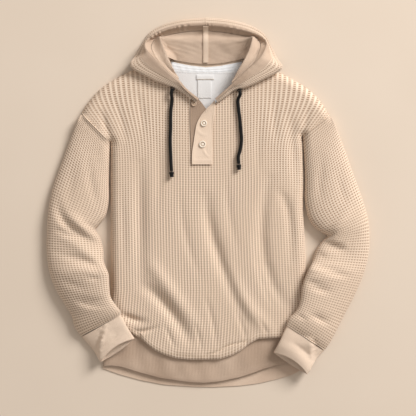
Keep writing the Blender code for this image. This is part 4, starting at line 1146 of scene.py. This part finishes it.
def cuff(side, stations, side_line):
    steps = np.linspace(0, 1, 11)
    rows = smooth_rows(stations, steps * (len(stations) - 1))
    grid = rings(rows, CUFF_EDGE, 1.0, side_line, NO_FOLDS, CUFF_FOLDS)
    along = (grid[-1] - grid[0]).mean(0)
    along[2] = 0
    share = ease((steps - 0.4) / 0.6)[:, None]
    arch = np.sin(np.pi * np.arange(2 * HALF) / HALF)
    shift = np.where(arch > 0, -MOUTH_FRONT, MOUTH_BACK) * arch ** 2
    grid = grid + unit(along) * (shift * share + CLEAR * (1 - steps[:, None]))[..., None]
    grid = np.roll(grid, HALF // 2, axis=1)
    grid = resample(grid, 24)
    grid = resample(grid.swapaxes(0, 1), 156, closed=True).swapaxes(0, 1)
    middle = grid.mean(1, keepdims=True)
    out = unit((grid - middle) * (1, 1, 2.5))
    ribs = 0.14 * np.cos(2 * np.pi * np.arange(156) / 3)
    grid[1:-1] += out[1:-1] * ribs[None, :, None] * (out[1:-1, :, 2:] > 0)
    # painted light: the cuff is drawn in the jersey's lighter copy
    return jersey_piece("cuff_" + side, grid, ["made_front_body"], BAND, unit=(2.9, 1.6), closed=True,
                        flip=side == "left", shade="lit_jersey")


cuff("right", RIGHT_CUFF, RIGHT_SIDE)
cuff("left", LEFT_CUFF, LEFT_SIDE)

# %% [markdown]
# ## The hood
# The hood lies open on the shoulders, with its lining up. One section goes from the neck seam out under
# the hood, round its fold and up to the lip of its opening, and then over the lip and down the lining,
# back to the neck seam. The casing is the strip round the lip where the cord runs, and the cord gathers it.

# %% The hood's sections
# lip x y z, fold x y, roll, valley z, ridge x y z, neck x y
RIGHT_HOOD = np.array([
    (-21, 227, 37, -27, 220, 3.2, 33, -20, 228, 32, -24, 224),
    (-47, 249, 39, -55, 240, 4.5, 34.5, -46, 250, 33, -50, 245),
    (-61, 265, 41, -72, 250, 6.0, 36, -59, 266, 34, -66, 260),
    (-75, 278, 44, -94, 258, 6.5, 38, -67, 278, 37, -82, 272),
    (-98, 298, 47, -126, 271, 7.0, 39, -74, 289, 39, -100, 289),
    (-122, 322, 48, -170, 299, 7.0, 37, -84, 311, 39, -105, 302),
    (-135, 339, 41, -156, 333, 8.0, 28, -95, 335, 36, -103, 315),
    (-134, 353, 29, -143, 357, 4.5, 19, -102, 353, 32, -97, 320),
    (-121, 363, 26, -128, 378, 5.5, 15, -104, 364, 27, -88, 318),
    (-93, 377, 26, -99, 394, 7.0, 13, -84, 361, 18, -69, 313),
    (-53, 386, 26, -57, 405, 9.5, 11, -47, 356, 14, -40, 308),
    (-5, 389, 26, -5, 409, 9.5, 10, -5, 357, 13, -5, 304.5)], float)
LEFT_HOOD = np.array([
    (16, 227, 37, 22, 220, 3.2, 33, 15, 228, 32, 19, 224),
    (33, 242, 39, 41, 233, 4.5, 34.5, 32, 243, 33, 36, 238),
    (48, 255, 41, 59, 246, 6.0, 36, 46, 257, 34, 53, 251),
    (63, 270, 44, 84, 252, 6.5, 38, 56, 271, 37, 71, 264),
    (86, 291, 47, 116, 266, 7.0, 39, 64, 287, 39, 92, 285),
    (110, 313, 48, 162, 293, 7.0, 37, 77, 309, 39, 100, 302),
    (123, 334, 41, 153, 320, 8.0, 28, 89, 333, 36, 98, 315),
    (127, 351, 29, 139, 349, 4.5, 19, 95, 352, 32, 93, 320),
    (114, 364, 26, 125, 373, 5.0, 15, 96, 364, 27, 84, 318),
    (86, 375, 26, 96, 391, 7.0, 13, 77, 359, 18, 61, 313),
    (44, 384, 26, 48, 404, 9.5, 11, 39, 355, 14, 28, 307),
    (-5, 389, 26, -5, 409, 9.5, 10, -5, 357, 13, -5, 304.5)], float)
HOOD_SECTIONS = 44
CASING_WIDTH = 21.0
CASING_SHARE = 0.55
CASING_INSIDE = 18.0
LIP_ROLL = 3.0
ROUND_SHARE = 0.41
LINING_START = 2.4
FRONT_LIFT = 3.0
LIFTED_ROWS = 2.0
NECK_INSET = 2.0
HOOD_KNIT_DEPTH = 0.9


def below_top(x, y):
    """Distance inside the front panel's top edge; negative beyond it."""
    distance = distance_to(FRONT_TOP_EDGE, x, y)[0]
    return np.where(y < edge_at(FRONT_TOP_EDGE, x), distance, -distance)


def over_shoulder(x, y):
    """What the hood lies on: the front panel, then down over the shoulder or neck seam to the surface."""
    return (FRONT_TOP + CLEAR) * ease((below_top(x, y) + 28) / 20)


def lining_floor(x, y):
    return (FRONT_TOP + CLEAR) * ease((below_top(x, y) + 40) / 26) + WAFFLE + JERSEY + 3 * SEAM


def raised(plan, z):
    return np.column_stack([plan, z])


def hood_outside(rows, t):
    """The outer face of sections, as a list of point rows; their crest; and the top of their lip."""
    lip, fold, roll, neck = rows[:, 0:2], rows[:, 3:5], rows[:, 5:6], rows[:, 10:12]
    outward = unit(fold - (lip + neck) / 2)
    inner_fold = fold - outward * roll
    lift = FRONT_LIFT * (1 - ease(t / LIFTED_ROWS))
    under = []
    for f in (0.0, 0.2, 0.4, 0.6, 0.8, 1.0):
        plan = neck + (inner_fold - neck) * f
        under.append(raised(plan, over_shoulder(*plan.T) + lift))
    base = under[-1][:, 2]
    roll_z = roll[:, 0]
    for angle in (-45, 0, 45):
        turn = np.radians(angle)
        plan = inner_fold + outward * roll * np.cos(turn)
        drop = over_shoulder(*plan.T) + lift - base if angle < 0 else 0.0
        under.append(raised(plan, base + drop + roll_z * (1 + np.sin(turn))))
    crest = raised(inner_fold, base + 2 * roll_z)
    away = unit(inner_fold - lip)
    return under, crest, raised(lip + away * LIP_ROLL, rows[:, 2])


def hood_inside(rows, t):
    """The inner face of sections: round the lip, over the lining's ridge and down to the neck seam."""
    lip_top = hood_outside(rows, t)[2]
    lip = rows[:, 0:3] - (0, 0, LIP_ROLL)
    chord = (lip_top + lip) / 2
    corner = raised(lip[:, :2], lip_top[:, 2])
    shoulder = chord + (corner - chord) * ROUND_SHARE
    ridge, neck = rows[:, 7:10], rows[:, 10:12]
    valley = lip + (ridge - lip) * 0.4
    valley[:, 2] = rows[:, 6]
    end = neck + unit(ridge[:, :2] - neck) * NECK_INSET
    lift = FRONT_LIFT * (1 - ease(t / LIFTED_ROWS))
    end = raised(end, over_shoulder(*end.T) + lift + WAFFLE + JERSEY + 4 * SEAM)
    middle = ridge + (end - ridge) * 0.55
    middle[:, 2] = ridge[:, 2] + (end[:, 2] - ridge[:, 2]) * 0.75
    curl = (1 - ease((t - 6.0) / 2.5))[:, None]
    below = ridge + (middle - ridge) * (0.4 - 0.35 * curl)
    below[:, 2] = ridge[:, 2] + (middle[:, 2] - ridge[:, 2]) * (0.4 + 0.3 * curl[:, 0])
    return np.stack([lip_top, shoulder, lip, valley, ridge, below, middle, end], axis=1)


# %% Hood halves
def on_middle(rows, side):
    """The last section lies on the hood's middle seam."""
    rows[-1, :, 0] = RIGHT_HOOD[-1, 0] + (SEAM / 2 if side == "left" else -SEAM / 2)
    return rows


def hood_half(side, table):
    t = np.linspace(0, len(table) - 1, HOOD_SECTIONS + 1)
    rows = smooth_rows(table, t)
    under, crest, lip = hood_outside(rows, t)
    width = np.maximum(np.linalg.norm(lip - crest, axis=1), 1.0)
    split = (1 - np.minimum(CASING_WIDTH / width, CASING_SHARE))[:, None]
    outer_edge = split - SEAM / width[:, None]
    face = [crest, crest + (lip - crest) * split * 0.5, crest + (lip - crest) * outer_edge]
    outside = np.stack(under + face, axis=1)
    inside = hood_inside(rows, t)
    casing, lining = [], []
    for k, points in enumerate(inside):
        gaps = np.linalg.norm(np.diff(points, axis=0), axis=1)
        length = gaps.sum()
        rolled = gaps[:2].sum() / length
        turn_in = min(CASING_INSIDE / length, 0.45)
        least = rolled + 2.0 / length
        turn_in = least + max(turn_in - least, 0.0) * ease((t[k] - 4.0) / 2.0)
        top = [crest[k] + (lip[k] - crest[k]) * share for share in (split[k], (1 + split[k]) / 2)]
        below = curve_at(points, [(rolled + turn_in) / 2, turn_in])
        casing.append(np.concatenate([top, points[:3], below]))
        if t[k] >= LINING_START:
            line = curve_at(points, np.linspace(turn_in + 3 * SEAM / length, 1, 10))
            line[:, 2] = np.maximum(line[:, 2], lining_floor(line[:, 0], line[:, 1]))
            lining.append(line)
    outside, casing, lining = (on_middle(np.array(rows), side) for rows in (outside, casing, lining))
    flip = side == "left"
    rests = ["made_front_body", "made_back_body"]

    grid = resample(resample(outside, 240).swapaxes(0, 1), 75).swapaxes(0, 1)
    waffle_piece("hood_" + side, grid, counted(241, 76, 1 / 3, 1 / 3), rests + ["floor"],
                 depth=HOOD_KNIT_DEPTH, flip=flip)

    grid = resample(resample(casing, 240).swapaxes(0, 1), 20).swapaxes(0, 1)
    place = np.linspace(0, 1, 241)[:, None]
    across = np.linspace(0, 1, 21)[None]
    seed = 1.7 if side == "left" else 0.4
    patchy = np.clip(np.sin(place * 31 + seed) + 0.7, 0, 1.4)
    gather = np.sin(place * 190 + 4 * np.sin(place * 17 + seed)) * patchy
    gather = gather * ease((place - 0.42) / 0.2) * 1.1 + 0.12 * np.sin(place * 150 + seed)
    grid[..., 2] += gather * np.sin(np.pi * across) ** 0.6
    grid[..., 2] -= 0.7 * np.exp(-((across - 0.42) / 0.05) ** 2)
    # painted shade: the casing is drawn in the jersey's darker copy
    jersey_piece("hood_casing_" + side, grid, ["made_hood_" + side], BAND, unit=(1.9, 2.2),
                 shade="shaded_jersey", flip=flip)

    grid = resample(resample(lining, 150).swapaxes(0, 1), 54).swapaxes(0, 1)
    place = np.linspace(0, 1, 151)[:, None]
    across = np.linspace(0, 1, 55)[None]
    soft = np.sin(place * 13 + 3 * across + seed) * np.sin(across * 9 + 2.0 * np.sin(place * 7))
    fine = np.sin(place * 37 + 5 * np.sin(across * 5 + seed)) * np.sin(across * 17 + 3 * place)
    soft = soft + 0.45 * fine
    grid[..., 2] += 0.8 * (1.4 + soft) * np.sin(np.pi * across) * ease((place - 0.05) / 0.1)
    jersey_piece("hood_lining_" + side, grid, ["made_hood_" + side], JERSEY, unit=(2.4, 1.9), flip=flip)


hood_half("right", RIGHT_HOOD)
hood_half("left", LEFT_HOOD)

# %% [markdown]
# ## Tapes, facing and labels
# The seam that joins the hood's halves is covered by a tape of the same jersey, stitched along both its
# edges. White tape covers the neck seam, with a white facing below it and two blank labels sewn on.

# %% Tapes and labels
TAPE_HALF = 6.0
TAPE_TOP = np.array([(-82, 313), (-66, 309), (-40, 304), (-5, 300), (28, 303), (58, 309), (76, 313)], float)
TAPE_BOTTOM = np.array([(-76, 290), (-40, 287), (-5, 286), (30, 286), (70, 288)], float)
FACING_BOTTOM = np.array([
    (-70, 255), (-55, 225), (-30, 201), (-5, 192), (20, 201), (47, 225), (64, 255)], float)
NECK_LEVEL = WAFFLE + SEAM + THIN

centre = hood_inside(RIGHT_HOOD[-1:], np.array([len(RIGHT_HOOD) - 1.0]))[0]
middle = curve_at(centre, np.linspace(0.03, 0.96, 70))
slope = unit(np.gradient(middle, axis=0))
out = np.stack([0 * slope[:, 0], slope[:, 2], -slope[:, 1]], -1)
across = np.linspace(-1, 1, 15)
pillow = 0.5 * (1 - across ** 4) - 0.5 * np.exp(-((np.abs(across) - 0.78) / 0.1) ** 2)
grid = (middle[:, None] + out[:, None] * (THIN + 2 * SEAM + pillow)[None, :, None]
        + across[None, :, None] * np.array((TAPE_HALF, 0, 0)))
# painted light: the tape is drawn in the jersey's lighter copy
SEAM_TAPE = jersey_piece("hood_seam_tape", grid, ["made_hood_lining_right"], THIN, unit=(1.6, 0.9),
                         shade="lit_jersey")


def strip_between(bottom, top, rows, columns):
    """Plan points of a strip between two edges, from the bottom up."""
    share = np.linspace(0, 1, columns + 1)
    f = np.linspace(0, 1, rows + 1)[:, None]
    low_x = bottom[0, 0] + (bottom[-1, 0] - bottom[0, 0]) * share
    top_x = top[0, 0] + (top[-1, 0] - top[0, 0]) * share
    y = edge_at(bottom, low_x) * (1 - f) + edge_at(top, top_x) * f
    return low_x * (1 - f) + top_x * f, y, f, share


x, y, f, share = strip_between(TAPE_BOTTOM, TAPE_TOP, 18, 120)
z = NECK_LEVEL + 0.5 * np.sin(np.pi * f) ** 0.5 + 0.2 * np.cos(2 * np.pi * f * 3)
z = z + 0.25 * np.sin(share * 60) * np.sin(np.pi * f)
# painted light: the tape is drawn in a whiter copy of the white jersey
NECK_TAPE = jersey_piece("neck_tape", np.stack([x, y, z], -1), ["made_back_body"], THIN, "white_jersey",
                         (1.2, 1.3), "lit_white_jersey")

top = np.array([TAPE_BOTTOM[:, 0], TAPE_BOTTOM[:, 1] - SEAM]).T
x, y, f, share = strip_between(FACING_BOTTOM, top, 48, 72)
z = NECK_LEVEL + 0.5 * (1 + np.sin(share * 11) * np.sin(f * 7 + 1)) * np.sin(np.pi * share) * (1 - f)
jersey_piece("back_facing", np.stack([x, y, z], -1), ["made_back_body"], THIN, "white_jersey", (1.9, 1.9))

LABELS = {}
for name, left, bottom, right, top, rows in (("neck_label", -25.5, 272, 13, 283.5, 8),
                                             ("size_label", -23, 231, 7.5, 271, 26)):
    x, y = np.meshgrid(np.linspace(left, right, 25), np.linspace(bottom, top, rows + 1))
    bow = 0.8 * np.sin(np.pi * (y - bottom) / (top - bottom)) + 0.4 * np.sin(x * 0.2)
    rim = np.minimum(np.minimum(x - left, right - x), np.minimum(y - bottom, top - y))
    z = NECK_LEVEL + SEAM + THIN + 0.3 + bow.clip(0, 2) * 0.5 - 0.3 * np.exp(-(rim / 0.8) ** 2)
    LABELS[name] = jersey_piece(name, np.stack([x, y, z], -1), ["made_back_facing"], THIN, "white_jersey",
                                (1.5, 1.4))

# %% [markdown]
# ## Placket and buttons
# The front opening is two strips of jersey, one lapped over the other, with a stitched edge. A button is a
# turned piece: a thick cream rim round a sunken brown middle, and two of them hold the strips closed.

# %% Placket
# left x y and right x y of each row, from the neck down
PLACKET_TOP = np.array([
    (-3, 205, 15, 225), (-10, 198, 15.5, 211), (-17, 189, 15, 200), (-25, 172, 13, 185),
    (-29, 150, 10.5, 157), (-32, 129, 10, 129), (-35, 108, 9.5, 108), (-35, 84, 9, 84)], float)
PLACKET_UNDER = np.array([
    (-38, 229, -22, 229), (-39, 217, -12, 217), (-39.5, 203, -4, 205), (-39.5, 188, 4, 190),
    (-39, 165, 6, 166), (-38, 140, 6, 140), (-37, 112, 5, 112), (-36, 88, 5, 88)], float)
PLACKET_FOLDS = np.array([
    (-10, 116, -6, 108, 2, 100, 2.0, 0.9), (-3.3, 122, -3.3, 112, -3.3, 102, 1.2, -0.5),
    (8, 190, 8.4, 150, 8.6, 92, 1.0, -0.7), (-28, 98, -10, 98, 6, 98, 1.0, -0.6),
    (-24, 160, -14, 150, -6, 150, 3.0, 0.8)], float)


def placket(node, table, layer, rests_on):
    rows = smooth_rows(table[::-1], np.linspace(0, len(table) - 1, 85))
    f = np.linspace(0, 1, 31)
    x = rows[:, :1] * (1 - f) + rows[:, 2:3] * f
    y = rows[:, 1:2] * (1 - f) + rows[:, 3:] * f
    z = front_height(x, y) + layer * (THIN + SEAM) + SEAM
    width = rows[:, 2:3] - rows[:, :1]
    from_left, from_right = f * width, (1 - f) * width
    welt = np.exp(-((from_left - 1.5) / 1.2) ** 2) - 0.8 * np.exp(-((from_left - 3.6) / 0.8) ** 2)
    z = z + 0.35 * welt + 0.35 * np.exp(-((from_right - 1.5) / 1.2) ** 2)
    if layer == 2:
        z = z + 1.1 * np.exp(-(from_left / 7) ** 2)
        z = z + relief(PLACKET_FOLDS, x, y, 0.5) + 0.5 * np.exp(-((y - 93) / 2.5) ** 2)
    # painted light on the upper strip and painted shade on the under one: each is drawn in a copy of the
    # jersey
    return jersey_piece(node, np.stack([x, y, z], -1), rests_on, THIN, unit=(1.7, 1.4),
                        shade="lit_jersey" if layer == 2 else "darker_shaded_jersey")


placket("placket_under", PLACKET_UNDER, 1, ["made_front_body"])
PLACKET = placket("placket_top", PLACKET_TOP, 2, ["made_placket_under"])

# %% Buttons and eyelets
# name, x, y, diameter, strips under it, look
BUTTONS = (("collar_button", -31, 217, 11.5, 1, "shaded_button"),
           ("upper_button", -9, 174, 14.0, 2, "button"),
           ("lower_button", -12, 128, 15.0, 2, "button"))
BUTTON_PROFILE = np.array([
    (0, 1.75), (0.2, 1.72), (0.32, 1.5), (0.46, 1.1), (0.58, 1.45), (0.68, 2.15), (0.8, 2.45), (0.92, 2.3),
    (1, 1.5), (0.97, 0.7), (0.85, 0.2), (0.5, 0.02), (0, 0)], float)


def turned(name, profile, centre, axis, finish, node, look=None, steps=48):
    """A turned piece: radius and height from the top of its axis to the bottom."""
    axis = unit(np.array(axis, float))
    side = unit(np.cross(axis, (0.31, 0.17, 0.93) if abs(axis[2]) < 0.9 else (0.0, 1.0, 0.0)))
    other = np.cross(axis, side)
    around = np.linspace(0, 2 * np.pi, steps, endpoint=False)[None, :, None]
    rings = (np.array(centre) + profile[:, None, 1:] * axis
             + profile[:, None, :1] * (np.cos(around) * side + np.sin(around) * other))
    cell = counted(len(profile), steps + 1, 1.0, 1.0)
    cell[..., 1] = (profile[:, 0] / profile[:, 0].max())[:, None]
    obj = skin(name, rings[::-1], cell[::-1])
    obj.data.materials.append(MATERIALS[look or finish])
    return paint(obj, finish, node)


for name, x, y, diameter, layers, look in BUTTONS:
    profile = resample(BUTTON_PROFILE * (diameter / 2, 1), 36)
    z = float(front_height(np.array([x]), np.array([y]))[0]) + layers * (THIN + SEAM) + 3 * SEAM
    turned("made_" + name, profile, (x, y, z), (0, 0, 1), "button", name, look)

EYELETS = {     # centre and axis
    "right": ((-77.6, 250.0, 32.7), (-0.30, -0.93, 0.22)),
    "left": ((68.7, 246.5, 32.8), (0.25, -0.94, 0.22))}
around = np.linspace(0, 2 * np.pi, 14)
EYELET_SECTION = np.stack([5.0 + 0.9 * np.cos(around), 0.9 * np.sin(around)], -1)
for side, (centre, axis) in EYELETS.items():
    turned("made_eyelet_" + side, EYELET_SECTION, centre, axis, "eyelet", "eyelet_" + side)

# %% [markdown]
# ## Stitching
# Seams are held down by lines of thread. Each line below is drawn in plan and dropped onto the piece that
# it is sewn to, so the stitches follow every fold under them.

# %% Stitching
def drop(line, piece, spacing=2.0, lift=0.15):
    """Points along a line in plan, laid on top of a piece."""
    line = np.array(line, float)
    length = np.linalg.norm(np.diff(line, axis=0), axis=1).sum()
    points = resample(line, max(int(length / spacing), 2))
    surface = BVHTree.FromObject(piece, bpy.context.evaluated_depsgraph_get())
    laid = []
    for x, y in points:
        hit = surface.ray_cast(Vector((x * MM, y * MM, 0.2)), Vector((0, 0, -1)))[0]
        if hit is not None:
            laid.append((hit.x / MM, hit.y / MM, hit.z / MM + lift))
    return np.array(laid)


def beside(line, distance):
    """A line in plan moved sideways, to the left of its direction."""
    line = np.array(line, float)
    heading = unit(np.gradient(line, axis=0))
    return line + np.stack([-heading[:, 1], heading[:, 0]], -1) * distance


def stitched(name, lines, pitch=2.6, thickness=0.55):
    """One body of stitches along lines of points."""
    points, edges = [], []
    for line in lines:
        start = sum(len(p) for p in points)
        points.append(line)
        edges += [(start + k, start + k + 1) for k in range(len(line) - 1)]
    mesh = bpy.data.meshes.new(name)
    mesh.from_pydata((np.concatenate(points) * MM).tolist(), edges, [])
    obj = bpy.data.objects.new(name, mesh)
    bpy.context.scene.collection.objects.link(obj)
    grow(obj, STITCHES, Pitch=pitch * MM, Thickness=thickness * MM, Material=MATERIALS["thread"])
    obj.data.shade_smooth()
    print(name, len(obj.data.polygons), "faces")
    return paint(obj, "thread")


hem = [drop(beside(HEM_STITCHES, d), FRONT) for d in (-1.6, 1.6)]
stitched("hem_stitches", hem)
armholes = [drop(beside(ARMHOLES["right"], -3.2), FRONT), drop(beside(ARMHOLES["left"], 3.2), FRONT)]
stitched("armhole_stitches", armholes)
LEFT_CUFF_LINE = np.array([(176, -258), (190, -266), (214, -283), (238, -302), (254, -318)], float)
RIGHT_CUFF_LINE = np.array([(-276, -288), (-262, -281), (-240, -268), (-216, -252), (-197, -240)], float)
stitched("cuff_stitches", [drop(beside(LEFT_CUFF_LINE, d), SLEEVES["left"]) for d in (-1.6, 1.6)]
         + [drop(beside(RIGHT_CUFF_LINE, d), SLEEVES["right"]) for d in (-1.6, 1.6)])
left_edge = PLACKET_TOP[::-1, :2] + (3.4, 0)
right_edge = PLACKET_TOP[::-1, 2:] - (3.2, 0)
stitched("label_stitches", [drop([(-25, 273 + d), (12.5, 273 + d)], LABELS["neck_label"], lift=0.2)
                            for d in (0.0, 0.7)], 1.6, 0.9)
stitched("size_label_stitches", [drop([(-22.4, 232), (7, 232)], LABELS["size_label"])], 2.0, 0.45)
placket_lines = (left_edge[:-1], right_edge[:-1], [(-31, 98), (5, 98)], [(-31, 88), (5, 88)])
stitched("placket_stitches", [drop(line, PLACKET) for line in placket_lines], 2.2, 0.5)
middle_x = RIGHT_HOOD[-1, 0]
tape_lines = [drop([(middle_x + d, 305.5), (middle_x + d, 384)], SEAM_TAPE) for d in (-4.6, 4.6)]
neck_line = [(x, edge_at(TAPE_BOTTOM, x) + 2) for x in np.linspace(-70, 64, 20)]
stitched("tape_stitches", tape_lines + [drop(neck_line, NECK_TAPE)], 2.2, 0.5)

# %% [markdown]
# ## Floor and light
# The hoodie lies on a plain pale surface. A large soft light at the upper right gives the folds their form
# and lets their shadows run to the lower left, and the pale world fills them.

# %% Floor and light
def floor_material():
    made, tree, feed = principled("floor", (0.745, 0.64, 0.535, 1), 0.8)
    place = tree.node("ShaderNodeTexCoord", output=3)
    cloud = tree.noise(place, 3.0)
    grain = tree.noise(place, 600.0, 2.0)
    feed(Base_Color=tree.mix(cloud.ramp(0.3, 0.7), (0.735, 0.63, 0.525, 1), (0.755, 0.65, 0.545, 1)),
         Roughness=grain.ramp(0.3, 0.7, 0.75, 0.88), Normal=tree.bump(grain, 0.00004))
    return made


floor_mesh = bpy.data.meshes.new("floor")
floor_mesh.from_pydata([(-4, -4, 0), (4, -4, 0), (4, 4, 0), (-4, 4, 0)], [], [(0, 1, 2, 3)])
floor = bpy.data.objects.new("floor", floor_mesh)
floor.location.z = -0.0002
floor.data.materials.append(floor_material())
bpy.context.scene.collection.objects.link(floor)

world = bpy.data.worlds.new("world")
world.use_nodes = True
world.node_tree.nodes["Background"].inputs["Color"].default_value = (1.0, 0.925, 0.85, 1)
world.node_tree.nodes["Background"].inputs["Strength"].default_value = 0.44
bpy.context.scene.world = world

LIGHT_PLACE = Vector((4.0, 4.0, 3.7))
light_data = bpy.data.lights.new("window", "AREA")
light_data.shape = "DISK"
light_data.size = 2.9
light_data.energy = 490
light_data.color = (1.0, 0.972, 0.94)
light = bpy.data.objects.new("window", light_data)
light.location = LIGHT_PLACE
light.rotation_euler = (-LIGHT_PLACE).to_track_quat("-Z", "Y").to_euler()
bpy.context.scene.collection.objects.link(light)
bpy.context.scene.view_settings.view_transform = "Standard"
